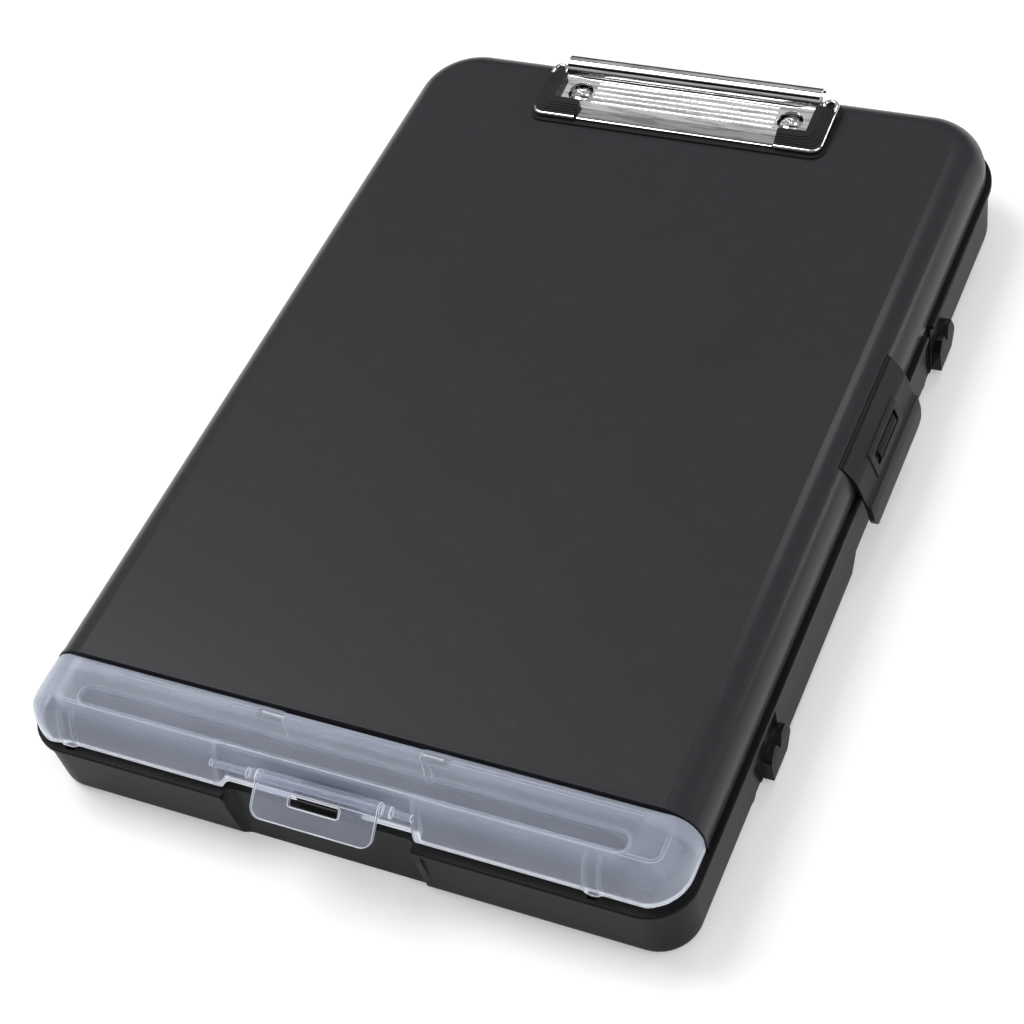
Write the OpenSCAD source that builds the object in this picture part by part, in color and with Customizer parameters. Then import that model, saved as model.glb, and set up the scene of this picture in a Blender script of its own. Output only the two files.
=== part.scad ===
// Storage clipboard box: a lidded document case with a writing board on top, a spring clip at
// the back edge and a pen compartment under a frosted door at the front.
// The origin is on the table under the middle of the case, +Y runs to the clip end, +Z is up.

/* [Case] */
// Width of the case over its rim
case_w = 240; // [210:1:270]
// Length of the case, from the pen door to the clip end
case_l = 354; // [320:1:400]
// Height of the base, from the table to the seam
base_h = 27; // [22:1:36]
// Plan radius of the two front corners of the base
front_r = 16; // [14:1:22]
// Plan radius of the two back corners of the base
back_r = 27; // [22:1:36]
// Thickness of the base walls
base_wall = 2.4; // [1.8:0.1:3]
// Thickness of the floor of the base
floor_t = 2.2; // [1.6:0.1:3]
// How much the base walls lean in towards the table
base_draft = 1; // [0.2:0.1:2]
// Radius of the bottom edge of the base
foot_r = 4; // [2:0.5:6]

/* [Rim] */
// Height of the rim flange
rim_h = 2.4; // [1.6:0.1:4]
// How far the rim stands out from the wall under it
rim_out = 1.2; // [0.4:0.1:2]
// Width of the ledge between the rim edge and the lid
ledge_w = 2.2; // [1.6:0.1:3]
// Height of the lip that centres the lid
lip_h = 2; // [1:0.1:4]
// Thickness of that lip
lip_t = 1.6; // [1:0.1:2.4]
// Gap between the rim and the lid or the pen door
seam_gap = 0.4; // [0.3:0.1:1]

/* [Lid] */
// Height of the lid, from the seam to the writing face
lid_h = 18; // [16:1:24]
// Thickness of the lid
lid_t = 2.4; // [1.8:0.1:3]
// Radius of the round edge along both sides and the back
lid_edge_r = 13; // [11:0.5:14]
// Distance of the lid's front edge from the front of the case
lid_front = 28.3; // [26:0.1:36]
// Height of the fine bead along the lid's front edge
bead_h = 0.3; // [0.1:0.1:0.6]

/* [Lid hinge] */
// Distance of the hinge pins outside the rim edge
hinge_out = 1; // [0.8:0.1:1.4]
// Radius of the knuckles
knuckle_r = 2.5; // [2.2:0.1:2.6]
// Length of one knuckle
knuckle_l = 9; // [6:1:16]
// Distance from one hinge to the next
hinge_pitch = 100; // [60:1:120]
// Diameter of the hinge pins
hinge_pin_d = 2.2; // [1.6:0.1:2.6]

/* [Pen door] */
// Distance of the lower front edge of the door from the front of the case
door_front = 3; // [2.4:0.1:4]
// Distance of the crease along the front of the door from the front of the case
crease_y = 9.5; // [8:0.1:12]
// Plan radius of the front corners of the door
door_r = 15; // [12:0.5:20]
// Thickness of the door
door_t = 1.9; // [1.4:0.1:2.2]
// Sagitta of the curved front of the door
door_bulge = 1.6; // [0.8:0.1:2.4]
// Radius of the barrel along the back edge of the door
door_barrel_r = 2.4; // [2:0.1:2.8]
// Width of the hinge block in the middle of that edge
hinge_block_w = 50; // [30:1:70]
// Width of the sunk panel in the door
panel_w = 195; // [120:1:200]
// Depth from front to back of the sunk panel
panel_l = 7.6; // [5:0.1:9]
// Depth of the sunk panel
panel_sink = 0.6; // [0.3:0.1:0.9]

/* [Pen door tab] */
// Centre of the recess that the tab stands in, sideways from the middle of the case
recess_x = -6.2; // [-20:0.1:20]
// Width of that recess
recess_w = 69.6; // [64:0.1:90]
// Depth of that recess
recess_d = 4.2; // [3.8:0.1:5]
// Centre of the tab, sideways from the middle of the case
tab_x = -2.8; // [-8:0.1:-2]
// Width of the tab
tab_w = 44; // [30:1:46]
// Length of the tab from its pin
tab_l = 13; // [11:0.5:13]
// How far the tab leans out at rest, in degrees
tab_lean = 51; // [40:1:60]
// Thickness of the tab
tab_t = 1.5; // [1.2:0.1:1.6]
// Radius of the barrel of the tab
tab_barrel_r = 2.5; // [2.1:0.1:2.6]
// Width of the slot in the tab
tab_slot_w = 18; // [12:0.1:24]
// Height of the slot in the tab
tab_slot_h = 3.6; // [3.4:0.1:5]
// How far the catch reaches out into the slot when the tab is pressed home
catch_bite = 1; // [0.6:0.1:1.1]

/* [Pen tray] */
// Thickness of the tray walls
tray_t = 1.2; // [0.8:0.1:1.6]
// Width of the tray
tray_w = 220; // [180:1:222]
// Height of the tray
tray_h = 37.6; // [20:0.1:37.7]

/* [Side latch] */
// Distance of the middle of the latch from the front of the case
latch_y = 198.5; // [120:0.5:240]
// Width of the latch
latch_w = 53; // [40:1:70]
// Width of the slot in the latch
latch_slot_w = 22; // [14:1:30]
// Height of the slot in the latch
latch_slot_h = 5.6; // [5.4:0.1:6.4]
// Radius of the latch's lower corners
latch_corner_r = 7; // [3:0.5:9]
// Thickness of the latch
latch_t = 2; // [1.6:0.1:2.2]

/* [Strap lugs] */
// Distance of the front lug from the front of the case
lug_front_y = 72; // [50:1:80]
// Distance from the front lug to the back lug
lug_pitch = 185; // [170:1:200]
// How far a lug stands out from the rim edge
lug_out = 1.6; // [0.6:0.1:2]
// Width of the slot beside a lug
lug_slot_w = 6; // [4:0.5:8]

/* [Clip] */
// Distance of the clip's pivot from the back of the case
pivot_y = 14; // [12:0.5:24]
// Height of the pivot above the writing face
pivot_h = 4.5; // [4.5:0.1:6]
// Radius of the rolled spine
spine_r = 4.5; // [4:0.1:4.8]
// Length of the spine
spine_l = 105; // [90:1:120]
// Thickness of the jaw plate
jaw_t = 0.9; // [0.6:0.1:1]
// Reach of the jaw plate in front of the pivot
jaw_reach = 26.4; // [26:0.1:30]
// Number of ribs pressed in the jaw plate
jaw_ribs = 5; // [2:1:6]
// Diameter of the wire round the jaw
wire_d = 1.8; // [1.2:0.1:2]
// Diameter of the pivot rod
rod_d = 2.4; // [1.8:0.1:2.6]
// Distance of a rivet from the end of the spine
rivet_end = 9; // [8:0.5:16]
// Diameter of the rivet heads
rivet_head_d = 8.4; // [6:0.1:9]
// Thickness of the pad under the clip
pad_t = 0.8; // [0.5:0.1:1.2]
// Thickness of the clip's base plate
plate_t = 0.8; // [0.6:0.1:1]

/* [Fits] */
// Radial clearance of a pin in its bore
pin_fit = 0.05; // [0.02:0.01:0.1]
// Gap between pieces that move past each other
run_gap = 0.3; // [0.3:0.05:0.4]

/* [Hidden] */
$fn = 48;

// Base
wall_foot = rim_out + base_draft;                // inset of the wall at the table
lip_in = ledge_w + lid_t + 0.6;                  // inset of the outer face of the lip
floor_in = 14;                                   // inset at which the flat floor takes over
divider_t = 2.2;
rim_edge_r = 0.7;
lug_top = base_h - 11.5;

// Lid
lid_w = case_w - 2 * ledge_w;
lid_z = base_h + seam_gap;
lid_top = base_h + lid_h;
lid_back = case_l / 2 - ledge_w;
lid_corner_r = back_r - ledge_w;
edge_x = lid_w / 2 - lid_edge_r;                 // centre of the round edge
edge_z = lid_top - lid_edge_r;

// Lid hinge
hinge_x = case_w / 2 + hinge_out;
hinge_z = base_h - 1.4;

// Pen door
door_back = lid_front - run_gap;
door_z = base_h + 0.6;
barrel_y = door_back - door_barrel_r;
barrel_z = lid_top - door_barrel_r;
door_pin_d = 2;
door_lug_l = 9;                                  // length of the barrel beside the block
door_pin_l = hinge_block_w + 2 * door_lug_l - 2;
door_ribs = [-100.5, 90];                        // places of the ribs with the snap nubs
rib_w = 5;
rib_out = 0.6;
nub_w = 2.8;
nub_l = 2;
nub_t = 1.6;
front_chord = [crease_y - door_front, lid_top - base_h - 0.5];
chord_l = norm(front_chord);
front_r_arc = chord_l * chord_l / (8 * door_bulge) + door_bulge / 2;
front_arc_y = door_front + front_chord[0] / 2 + (front_r_arc - door_bulge) * front_chord[1] / chord_l;
front_arc_z = base_h + 0.5 + front_chord[1] / 2 - (front_r_arc - door_bulge) * front_chord[0] / chord_l;

// Tab
tab_pin_d = 2.5;
tab_axis_y = 5;
tab_axis_z = lid_top - 5.4;
tab_corner_r = 4;
tab_slot_z = -2.9;                               // top of the slot below the pin
tab_face = 2.4;                                  // front face of the plate ahead of the pin
catch_w = tab_slot_w - 1.8;
catch_top = tab_axis_z - 4;
catch_low = tab_axis_z - 5.8;
catch_nose_y = recess_d - 0.2 - catch_bite;

// Tray
tray_front = 12;
tray_r = 4;                                      // plan radius of its corners

// Latch, in the plane across the case
latch_axis = [edge_x + 8.5, edge_z + 7.4];
latch_barrel_r = 2.3;
latch_pin_d = 2;
latch_pin_over = 3.5;
latch_foot_z = base_h - 16;
latch_slot_z = base_h + 0.8;
latch_catch_w = latch_slot_w - 5;
latch_catch_top = base_h + 6;
latch_catch_low = base_h + 2.2;
latch_bite = 1.6;                                // reach of the catch beyond the rim edge

// Clip
pivot_z = lid_top + pivot_h;
jaw_tilt = 5.4;                                  // tilt of the plate towards its lip, degrees
jaw_half = spine_l / 2;
spine_in = spine_r - jaw_t;
plate_half = jaw_half - 1;
rivet_pitch = spine_l - 2 * rivet_end;
rivet_v = 13;                                    // rivets in front of the pivot
plate_front = rivet_v + 7;                       // reach of the base plate
rivet_d = 3.2;
rivet_bore_d = rivet_d + 2 * pin_fit;
washer_d = 8;
washer_t = 0.6;
wire_in = jaw_half + 0.2 + wire_d / 2;
wire_turn = 2.6;
wire_out = wire_in + 2 * wire_turn;
wire_front = jaw_reach - 0.3;
wire_back = -2.9;                                // centre of the hairpin at the spine's end
wire_end = 41.2;                                 // inner end of the wire's front piece
wire_corner = 3.5;
corner_x = wire_end - 0.7;                       // the plate's corners are cut from here out
corner_v = wire_front - 1.5;
grip_out = wire_out + 0.5;
grip_front = wire_front - 0.2;
grip_back = 5.3;                                 // back end of the grip, in front of the pivot
grip_side = jaw_half - 0.5;                      // inner face of the grip's side arm
grip_in = 41;                                    // inner end of the grip's front arm
grip_depth = 7;
grip_steps = 5;
grip_step = 1;                                   // width and height of a step
grip_rise = 0.4;
ear_t = 1;
ear_x = jaw_half - 3.5;
lug_t = 0.9;
spring_r = 1.9;
spring_wire = 0.8;
spring_turns = 8;
spring_pitch = 1.6;
spring_x = 10;

// Y of a point at distance d behind the front of the case.
function fy(d) = d - case_l / 2;

// Y of a point at distance d in front of the back of the case.
function by(d) = case_l / 2 - d;

// Profiles and sweeps

// Cuts the corner at the origin of a section down to radius r. The corner points to +X and,
// with up = 1, to +Y, or with up = -1, to -Y.
module corner_cut(r, up) {
    mirror([0, up > 0 ? 0 : 1]) difference() {
        translate([-r, -r]) square(r + 1);
        translate([-r, -r]) circle(r = r);
    }
}

// Rectangle w by l with its own radii at the front and at the back corners.
module outline(w, l, rf, rb) {
    translate([-w / 2, -l / 2 + rf]) square([w, l - rf - rb]);
    translate([-w / 2 + rf, -l / 2]) square([w - 2 * rf, rf + 1]);
    translate([-w / 2 + rb, l / 2 - rb - 1]) square([w - 2 * rb, rb + 1]);
    for (s = [-1, 1]) {
        translate([s * (w / 2 - rf), -l / 2 + rf]) circle(r = rf);
        translate([s * (w / 2 - rb), l / 2 - rb]) circle(r = rb);
    }
}

// Rounded rectangle between two corners.
module slab(x0, y0, x1, y1, r) {
    translate([(x0 + x1) / 2, (y0 + y1) / 2]) outline(x1 - x0, y1 - y0, r, r);
}

// Box between two corners.
module block(a, b) {
    translate(a) cube(b - a);
}

// Draws a section of the XZ plane from y0 to y1.
module along_y(y0, y1) {
    translate([0, y1, 0]) rotate([90, 0, 0]) linear_extrude(y1 - y0) children();
}

// Draws a section given as (y, z) from x0 to x1.
module along_x(x0, x1) {
    translate([x0, 0, 0]) rotate([90, 0, 90]) linear_extrude(x1 - x0) children();
}

// A wall section swept along the right side, the back right corner and, with front = true,
// the front right corner. The section has x = 0 on the outer face.
module sweep_right(w, y0, y1, rf, rb, front) {
    along_y(y0 + rf, y1 - rb) translate([w / 2, 0]) children();
    translate([w / 2 - rb, y1 - rb, 0]) rotate_extrude(angle = 90) translate([rb, 0]) children();
    if (front) {
        translate([w / 2 - rf, y0 + rf, 0]) rotate([0, 0, -90])
            rotate_extrude(angle = 90) translate([rf, 0]) children();
    }
}

// The same on both sides, with the back and, with front = true, the front between them.
module sweep_round(w, y0, y1, rf, rb, front) {
    for (s = [0, 1]) {
        mirror([s, 0, 0]) sweep_right(w, y0, y1, rf, rb, front) children();
    }
    rotate([0, 0, 90]) along_y(-w / 2 + rb, w / 2 - rb) translate([y1, 0]) children();
    if (front) {
        rotate([0, 0, -90]) along_y(-w / 2 + rf, w / 2 - rf) translate([-y0, 0]) children();
    }
}

// Section across the case under the round edges of the lid, shrunk by d, from height z0.
module arch(d, z0) {
    r = lid_edge_r - d;
    translate([-lid_w / 2 + d, z0]) square([lid_w - 2 * d, edge_z - z0]);
    translate([-edge_x, z0]) square([2 * edge_x, lid_top - d - z0]);
    for (s = [-1, 1]) intersection() {
        translate([s * edge_x, edge_z]) circle(r = r);
        translate([-lid_w, edge_z - 1]) square([2 * lid_w, 2 * lid_edge_r]);
    }
}

// Base

// Wall of the base with its foot, rim and lid lip.
module base_section() {
    foot_x = -rim_out - base_draft * (1 - foot_r / base_h);
    difference() {
        polygon([
            [-rim_out, base_h - 0.5], [-wall_foot, 0], [-floor_in, 0], [-floor_in, floor_t],
            [-wall_foot - base_wall, floor_t], [-rim_out - base_wall, base_h - 0.5]
        ]);
        translate([foot_x, 0]) corner_cut(foot_r, -1);
    }
    difference() {
        translate([-lip_in - lip_t, base_h - rim_h]) square([lip_in + lip_t, rim_h]);
        translate([0, base_h]) corner_cut(rim_edge_r, 1);
        translate([0, base_h - rim_h]) corner_cut(rim_edge_r, -1);
    }
    translate([-lip_in - lip_t, base_h - 1]) square([lip_t, lip_h + 1]);
}

// Wall between the papers and the pens. Its head fills the open end of the lid.
module divider() {
    along_y(fy(lid_front), fy(lid_front + divider_t)) {
        arch(lid_t + seam_gap, base_h - 1);
        translate([-case_w / 2 + rim_out + 2, 1]) square([case_w - 2 * rim_out - 4, base_h - 1.4]);
    }
}

// Plan of the recess for the tab, grown by d, with round inner corners.
module recess_plan(d) {
    w = recess_w + 2 * d;
    translate([recess_x - w / 2, fy(-10)]) square([w, 6]);
    slab(recess_x - w / 2, fy(-8), recess_x + w / 2, fy(recess_d + d), 3);
}

// Knuckles of one hinge. The lid has the middle one, the base has the outer two.
module knuckles(y, which) {
    step = knuckle_l + run_gap;
    for (k = which) {
        translate([-hinge_x, y + k * step, hinge_z]) rotate([90, 0, 0])
            cylinder(r = knuckle_r, h = knuckle_l, center = true);
    }
}

// One ear of the strap lugs with the slot beside it; y is the front of the ear.
module lug_ear(y) {
    out = case_w / 2 + lug_out;
    along_x(case_w / 2 - 3, out) polygon([
        [fy(y), 2.5], [fy(y + 13), 2.5], [fy(y + 17), 7], [fy(y + 17), lug_top - 6],
        [fy(y + 14), lug_top], [fy(y + 3), lug_top], [fy(y), lug_top - 4]
    ]);
}

// The slot beside a lug, up to slot_top, and the notch in the lug's upper edge.
module lug_cuts(y, slot_top) {
    pocket = case_w / 2 - 3;
    block([pocket, fy(y - 1 - lug_slot_w), -1], [case_w / 2 + 4, fy(y - 1), slot_top]);
    along_x(case_w / 2 - 1, case_w / 2 + 4) polygon([
        [fy(y + 5), lug_top + 0.5], [fy(y + 10.5), lug_top + 0.5], [fy(y + 8.5), lug_top - 6]
    ]);
}

module base_shell() {
    lug_y = [lug_front_y, lug_front_y + lug_pitch];
    slot_top = [base_h - 10, base_h + 2];
    in = case_w / 2 - rim_out - base_wall;
    catch_x = lid_w / 2 + seam_gap;
    color([0.07, 0.07, 0.075]) difference() {
        union() {
            // walls and floor, without their front right in the tab recess
            difference() {
                union() {
                    sweep_round(case_w, -case_l / 2, case_l / 2, front_r, back_r, true)
                        base_section();
                    linear_extrude(floor_t) outline(
                        case_w - 2 * floor_in + 4, case_l - 2 * floor_in + 4,
                        front_r - floor_in + 2, back_r - floor_in + 2
                    );
                }
                // the lid lip stops at the pen compartment
                block([-case_w, fy(-5), base_h], [case_w, fy(lid_front + 1), lid_top]);
            }
            divider();
            // walls of the recess
            intersection() {
                linear_extrude(base_h) difference() {
                    recess_plan(base_wall);
                    translate([-case_w, fy(-20)]) square([2 * case_w, 20 + rim_edge_r]);
                }
                along_x(-case_w / 2, case_w / 2)
                    polygon([
                        [fy(0), base_h], [fy(wall_foot), 4], [fy(foot_r + 2), 0],
                        [fy(30), 0], [fy(30), base_h]
                    ]);
            }
            // raised panel of the right wall, up to the rim edge
            along_x(in, case_w / 2 - 0.1) polygon([
                [fy(88), 4], [fy(158), 4], [fy(163), 9], [fy(163), base_h - 1],
                [fy(84), base_h - 1], [fy(84), 8]
            ]);
            // lugs and the wall behind their slots
            for (y = lug_y) {
                lug_ear(y);
                block([in - 2.4, fy(y - 3 - lug_slot_w), 1], [in + 1, fy(y + 1), base_h]);
            }
            // catch for the side latch
            block(
                [catch_x, fy(latch_y - latch_catch_w / 2 - 0.5), base_h - 1],
                [case_w / 2, fy(latch_y + latch_catch_w / 2 + 0.5), latch_catch_top]
            );
            along_y(fy(latch_y - latch_catch_w / 2), fy(latch_y + latch_catch_w / 2)) polygon([
                [case_w / 2 - 1, latch_catch_top], [case_w / 2 + 0.4, latch_catch_top],
                [case_w / 2 + latch_bite, latch_catch_top - 2.6],
                [case_w / 2 + latch_bite, latch_catch_low], [case_w / 2 - 1, latch_catch_low]
            ]);
            // catch for the tab
            block(
                [tab_x - catch_w / 2 - 2, fy(recess_d + 0.4), base_h - 1],
                [tab_x + catch_w / 2 + 2, fy(recess_d + 2.2), catch_top + 0.4]
            );
            along_x(tab_x - catch_w / 2, tab_x + catch_w / 2) polygon([
                [fy(recess_d + 1), catch_top], [fy(recess_d - 0.4), catch_top],
                [fy(catch_nose_y), catch_top - 0.7], [fy(catch_nose_y), catch_low],
                [fy(recess_d + 1), catch_low]
            ]);
            // hinge knuckles with their gussets
            for (k = [-1, 0, 1]) {
                y = k * hinge_pitch;
                knuckles(y, [-1, 1]);
                for (s = [-1, 1]) {
                    c = y + s * (knuckle_l + run_gap);
                    along_y(c - knuckle_l / 2, c + knuckle_l / 2) polygon([
                        [-hinge_x - knuckle_r * 0.7, hinge_z - knuckle_r * 0.7],
                        [-case_w / 2 + rim_out + 0.6, base_h - 10],
                        [-case_w / 2 + rim_out + 0.6, base_h - 0.5],
                        [-hinge_x, hinge_z]
                    ]);
                }
            }
        }
        // front recess
        translate([0, 0, -1]) linear_extrude(base_h + 2) recess_plan(0);
        for (i = [0, 1]) lug_cuts(lug_y[i], slot_top[i]);
        // room for the lid's knuckles and bores for the hinge pins
        for (k = [-1, 0, 1]) {
            translate([-hinge_x, k * hinge_pitch, hinge_z]) rotate([90, 0, 0]) {
                cylinder(r = knuckle_r + seam_gap, h = knuckle_l + 2 * run_gap, center = true);
                cylinder(
                    d = hinge_pin_d + 2 * pin_fit, h = 4 * knuckle_l, center = true
                );
            }
        }
        // pockets in the ledge for the nubs of the pen door
        for (x = door_ribs) {
            block(
                [x - nub_w / 2 - 0.4, fy(door_front - 1.4), base_h - rim_h - 1],
                [x + nub_w / 2 + 0.4, fy(door_front + nub_t + 0.6), base_h + 1]
            );
        }
    }
}

module lid_hinge_pins() {
    color([0.75, 0.75, 0.77]) for (k = [-1, 0, 1]) {
        translate([-hinge_x, k * hinge_pitch, hinge_z]) rotate([90, 0, 0])
            cylinder(d = hinge_pin_d, h = 3 * knuckle_l + 2 * run_gap, center = true);
    }
}

// Pen tray

module pen_tray() {
    top = floor_t + tray_h;
    back = fy(door_back);
    half = hinge_block_w / 2;
    color([0.72, 0.76, 0.82, 0.6]) difference() {
        union() {
            difference() {
                translate([0, 0, floor_t]) linear_extrude(tray_h)
                    slab(-tray_w / 2, fy(tray_front), tray_w / 2, back, tray_r);
                translate([0, 0, floor_t + tray_t]) linear_extrude(tray_h) slab(
                    -tray_w / 2 + tray_t, fy(tray_front) + tray_t,
                    tray_w / 2 - tray_t, back - tray_t, tray_r - tray_t
                );
            }
            // hinge block on the back wall
            along_x(-half, half) {
                translate([fy(barrel_y), barrel_z]) circle(r = door_barrel_r);
                polygon([
                    [fy(barrel_y), lid_top], [back, lid_top], [back, top - 14],
                    [fy(barrel_y - door_barrel_r), top - 9], [fy(barrel_y - door_barrel_r), barrel_z]
                ]);
            }
        }
        translate([0, fy(barrel_y), barrel_z]) rotate([0, 90, 0])
            cylinder(d = door_pin_d + 2 * pin_fit, h = door_pin_l + 4, center = true);
    }
}

module pen_door_hinge_pin() {
    color([0.75, 0.75, 0.77]) translate([0, fy(barrel_y), barrel_z]) rotate([0, 90, 0])
        cylinder(d = door_pin_d, h = door_pin_l, center = true);
}

// Pen door

// Section of the door from front to back as (y, z), shrunk by d: curved front, flat top and
// round back edge, from height z0.
module door_side(d, z0) {
    top = lid_top - d;
    intersection() {
        translate([fy(front_arc_y), front_arc_z]) circle(r = front_r_arc - d, $fn = 96);
        union() {
            translate([fy(0), z0]) square([barrel_y, top - z0]);
            translate([fy(0), z0]) square([door_back, barrel_z - z0]);
            if (d == 0) {
                translate([fy(barrel_y), barrel_z]) circle(r = door_barrel_r);
            } else {
                translate([fy(0), z0]) square([door_back + 5, top - z0]);
            }
        }
    }
}

// Body of the door, shrunk by d on its outside: the arch of the lid, the section above and
// round corners in plan.
module door_body(d, z0) {
    intersection() {
        along_y(fy(door_front + d - 1), fy(door_back + 3)) arch(d, z0);
        along_x(-case_w / 2, case_w / 2) door_side(d, z0);
        translate([0, 0, z0 - 1]) linear_extrude(lid_top) slab(
            -lid_w / 2 + d, fy(door_front + d - 0.6), lid_w / 2 - d, fy(door_back + 30), door_r - d
        );
    }
}

// Space in front of the door's middle wall, grown by d.
module door_recess(d) {
    foot = recess_d + 1.8 + d;
    head = crease_y + 0.2 + d;
    along_x(recess_x - recess_w / 2 - d, recess_x + recess_w / 2 + d) polygon([
        [fy(-5), 5], [fy(foot), 5], [fy(foot), base_h + 1], [fy(head), lid_top - door_t],
        [fy(head), lid_top + 5], [fy(-5), lid_top + 5]
    ]);
}

// Rib over the curved front, with the nub that enters the rim.
module door_rib(x) {
    along_x(x - rib_w / 2, x + rib_w / 2) intersection() {
        difference() {
            translate([fy(front_arc_y), front_arc_z]) circle(r = front_r_arc + rib_out, $fn = 96);
            translate([fy(front_arc_y), front_arc_z]) circle(r = front_r_arc - 0.5, $fn = 96);
        }
        translate([fy(-2), door_z]) square([crease_y + 1.6, lid_top - door_z - 0.8]);
    }
    block(
        [x - nub_w / 2, fy(door_front + 0.1), base_h - nub_l],
        [x + nub_w / 2, fy(door_front + nub_t), base_h + 1.8]
    );
}

module pen_door() {
    half = hinge_block_w / 2 + run_gap;
    panel_back = crease_y + 1 + panel_l;
    color([0.72, 0.76, 0.82, 0.6]) difference() {
        union() {
            difference() {
                door_body(0, door_z);
                door_recess(0);
                difference() {
                    door_body(door_t, base_h - 5);
                    door_recess(door_t);
                }
            }
            // barrel beside the hinge block
            for (s = [-1, 1]) {
                translate([s * (half + door_lug_l / 2), fy(barrel_y), barrel_z])
                    rotate([0, 90, 0])
                        cylinder(r = door_barrel_r - 0.05, h = door_lug_l, center = true);
            }
            for (x = door_ribs) door_rib(x);
        }
        // sunk panel
        translate([1.5, fy(panel_back - panel_l / 2), lid_top - panel_sink])
            linear_extrude(2) slab(-panel_w / 2, -panel_l / 2, panel_w / 2, panel_l / 2, 3.7);
        // notch for the hinge block
        block(
            [-half, fy(barrel_y - door_barrel_r - 0.4), barrel_z - 8],
            [half, fy(door_back + 5), lid_top + 5]
        );
        translate([0, fy(barrel_y), barrel_z]) rotate([0, 90, 0])
            cylinder(d = door_pin_d + 2 * pin_fit, h = door_pin_l + 0.4, center = true);
        // window for the catch, and bores for the tab's pin
        block(
            [tab_x - catch_w / 2 - 3.4, fy(0), base_h - 5],
            [tab_x + catch_w / 2 + 3.4, fy(crease_y + 1), tab_axis_z - 2.6]
        );
        translate([recess_x, fy(tab_axis_y), tab_axis_z]) rotate([0, 90, 0])
            cylinder(d = tab_pin_d + 2 * pin_fit, h = recess_w + 2 * door_t + 1, center = true);
    }
}

// Tab of the pen door

module tab_plate() {
    foot = -tab_l;
    difference() {
        union() {
            slab(-tab_w / 2, foot, tab_w / 2, -1, tab_corner_r);
            translate([-tab_w / 2, foot + tab_corner_r]) square([tab_w, tab_l - tab_corner_r]);
        }
        slab(-tab_slot_w / 2, tab_slot_z - tab_slot_h, tab_slot_w / 2, tab_slot_z, 0.9);
    }
}

module pen_tab() {
    color([0.72, 0.76, 0.82, 0.6]) translate([tab_x, fy(tab_axis_y), tab_axis_z]) difference() {
        union() {
            rotate([0, 90, 0]) cylinder(r = tab_barrel_r, h = tab_w, center = true);
            rotate([-tab_lean, 0, 0]) translate([0, tab_t - tab_face, 0])
                rotate([90, 0, 0]) linear_extrude(tab_t) tab_plate();
        }
        rotate([0, 90, 0])
            cylinder(d = tab_pin_d + 2 * pin_fit, h = tab_w + 2, center = true);
    }
}

module pen_tab_pin() {
    over = recess_w + 2 * door_t - 0.4;
    collar = 3.6;
    color([0.76, 0.8, 0.86, 0.7]) translate([0, fy(tab_axis_y), tab_axis_z]) {
        translate([recess_x, 0, 0]) rotate([0, 90, 0])
            cylinder(d = tab_pin_d, h = over, center = true);
        for (s = [-1, 1]) {
            translate([tab_x + s * (tab_w / 2 + run_gap + collar / 2), 0, 0])
                rotate([0, 90, 0]) cylinder(r = tab_barrel_r - 0.5, h = collar, center = true);
        }
    }
}

// Lid

module lid_section() {
    r = lid_edge_r;
    difference() {
        union() {
            translate([-r - 2, lid_z]) square([r + 2, edge_z - lid_z]);
            translate([-r - 2, edge_z - 1]) square([2, r + 1]);
            intersection() {
                translate([-r, edge_z]) circle(r = r);
                translate([-r - 1, edge_z - 1]) square(r + 5);
            }
        }
        translate([-r - 5, lid_z - 1]) square([r + 5 - lid_t, edge_z - lid_z + 1]);
        translate([-r - 5, lid_z - 1]) square([5.001, lid_top - lid_t - lid_z + 1]);
        translate([-r, edge_z]) circle(r = r - lid_t);
    }
}

// Pocket of the latch in the round edge of the lid.
module latch_pocket() {
    translate(latch_axis) circle(r = latch_barrel_r + run_gap);
    polygon([
        latch_axis, latch_axis + [-0.7, -2.55], latch_axis + [2.6, -3.8],
        [lid_w / 2 + 0.05, edge_z + 0.4], [lid_w / 2 + 4, edge_z + 0.4],
        [lid_w / 2 + 4, edge_z + 12], latch_axis + [0.9, 2.5]
    ]);
}

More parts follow.
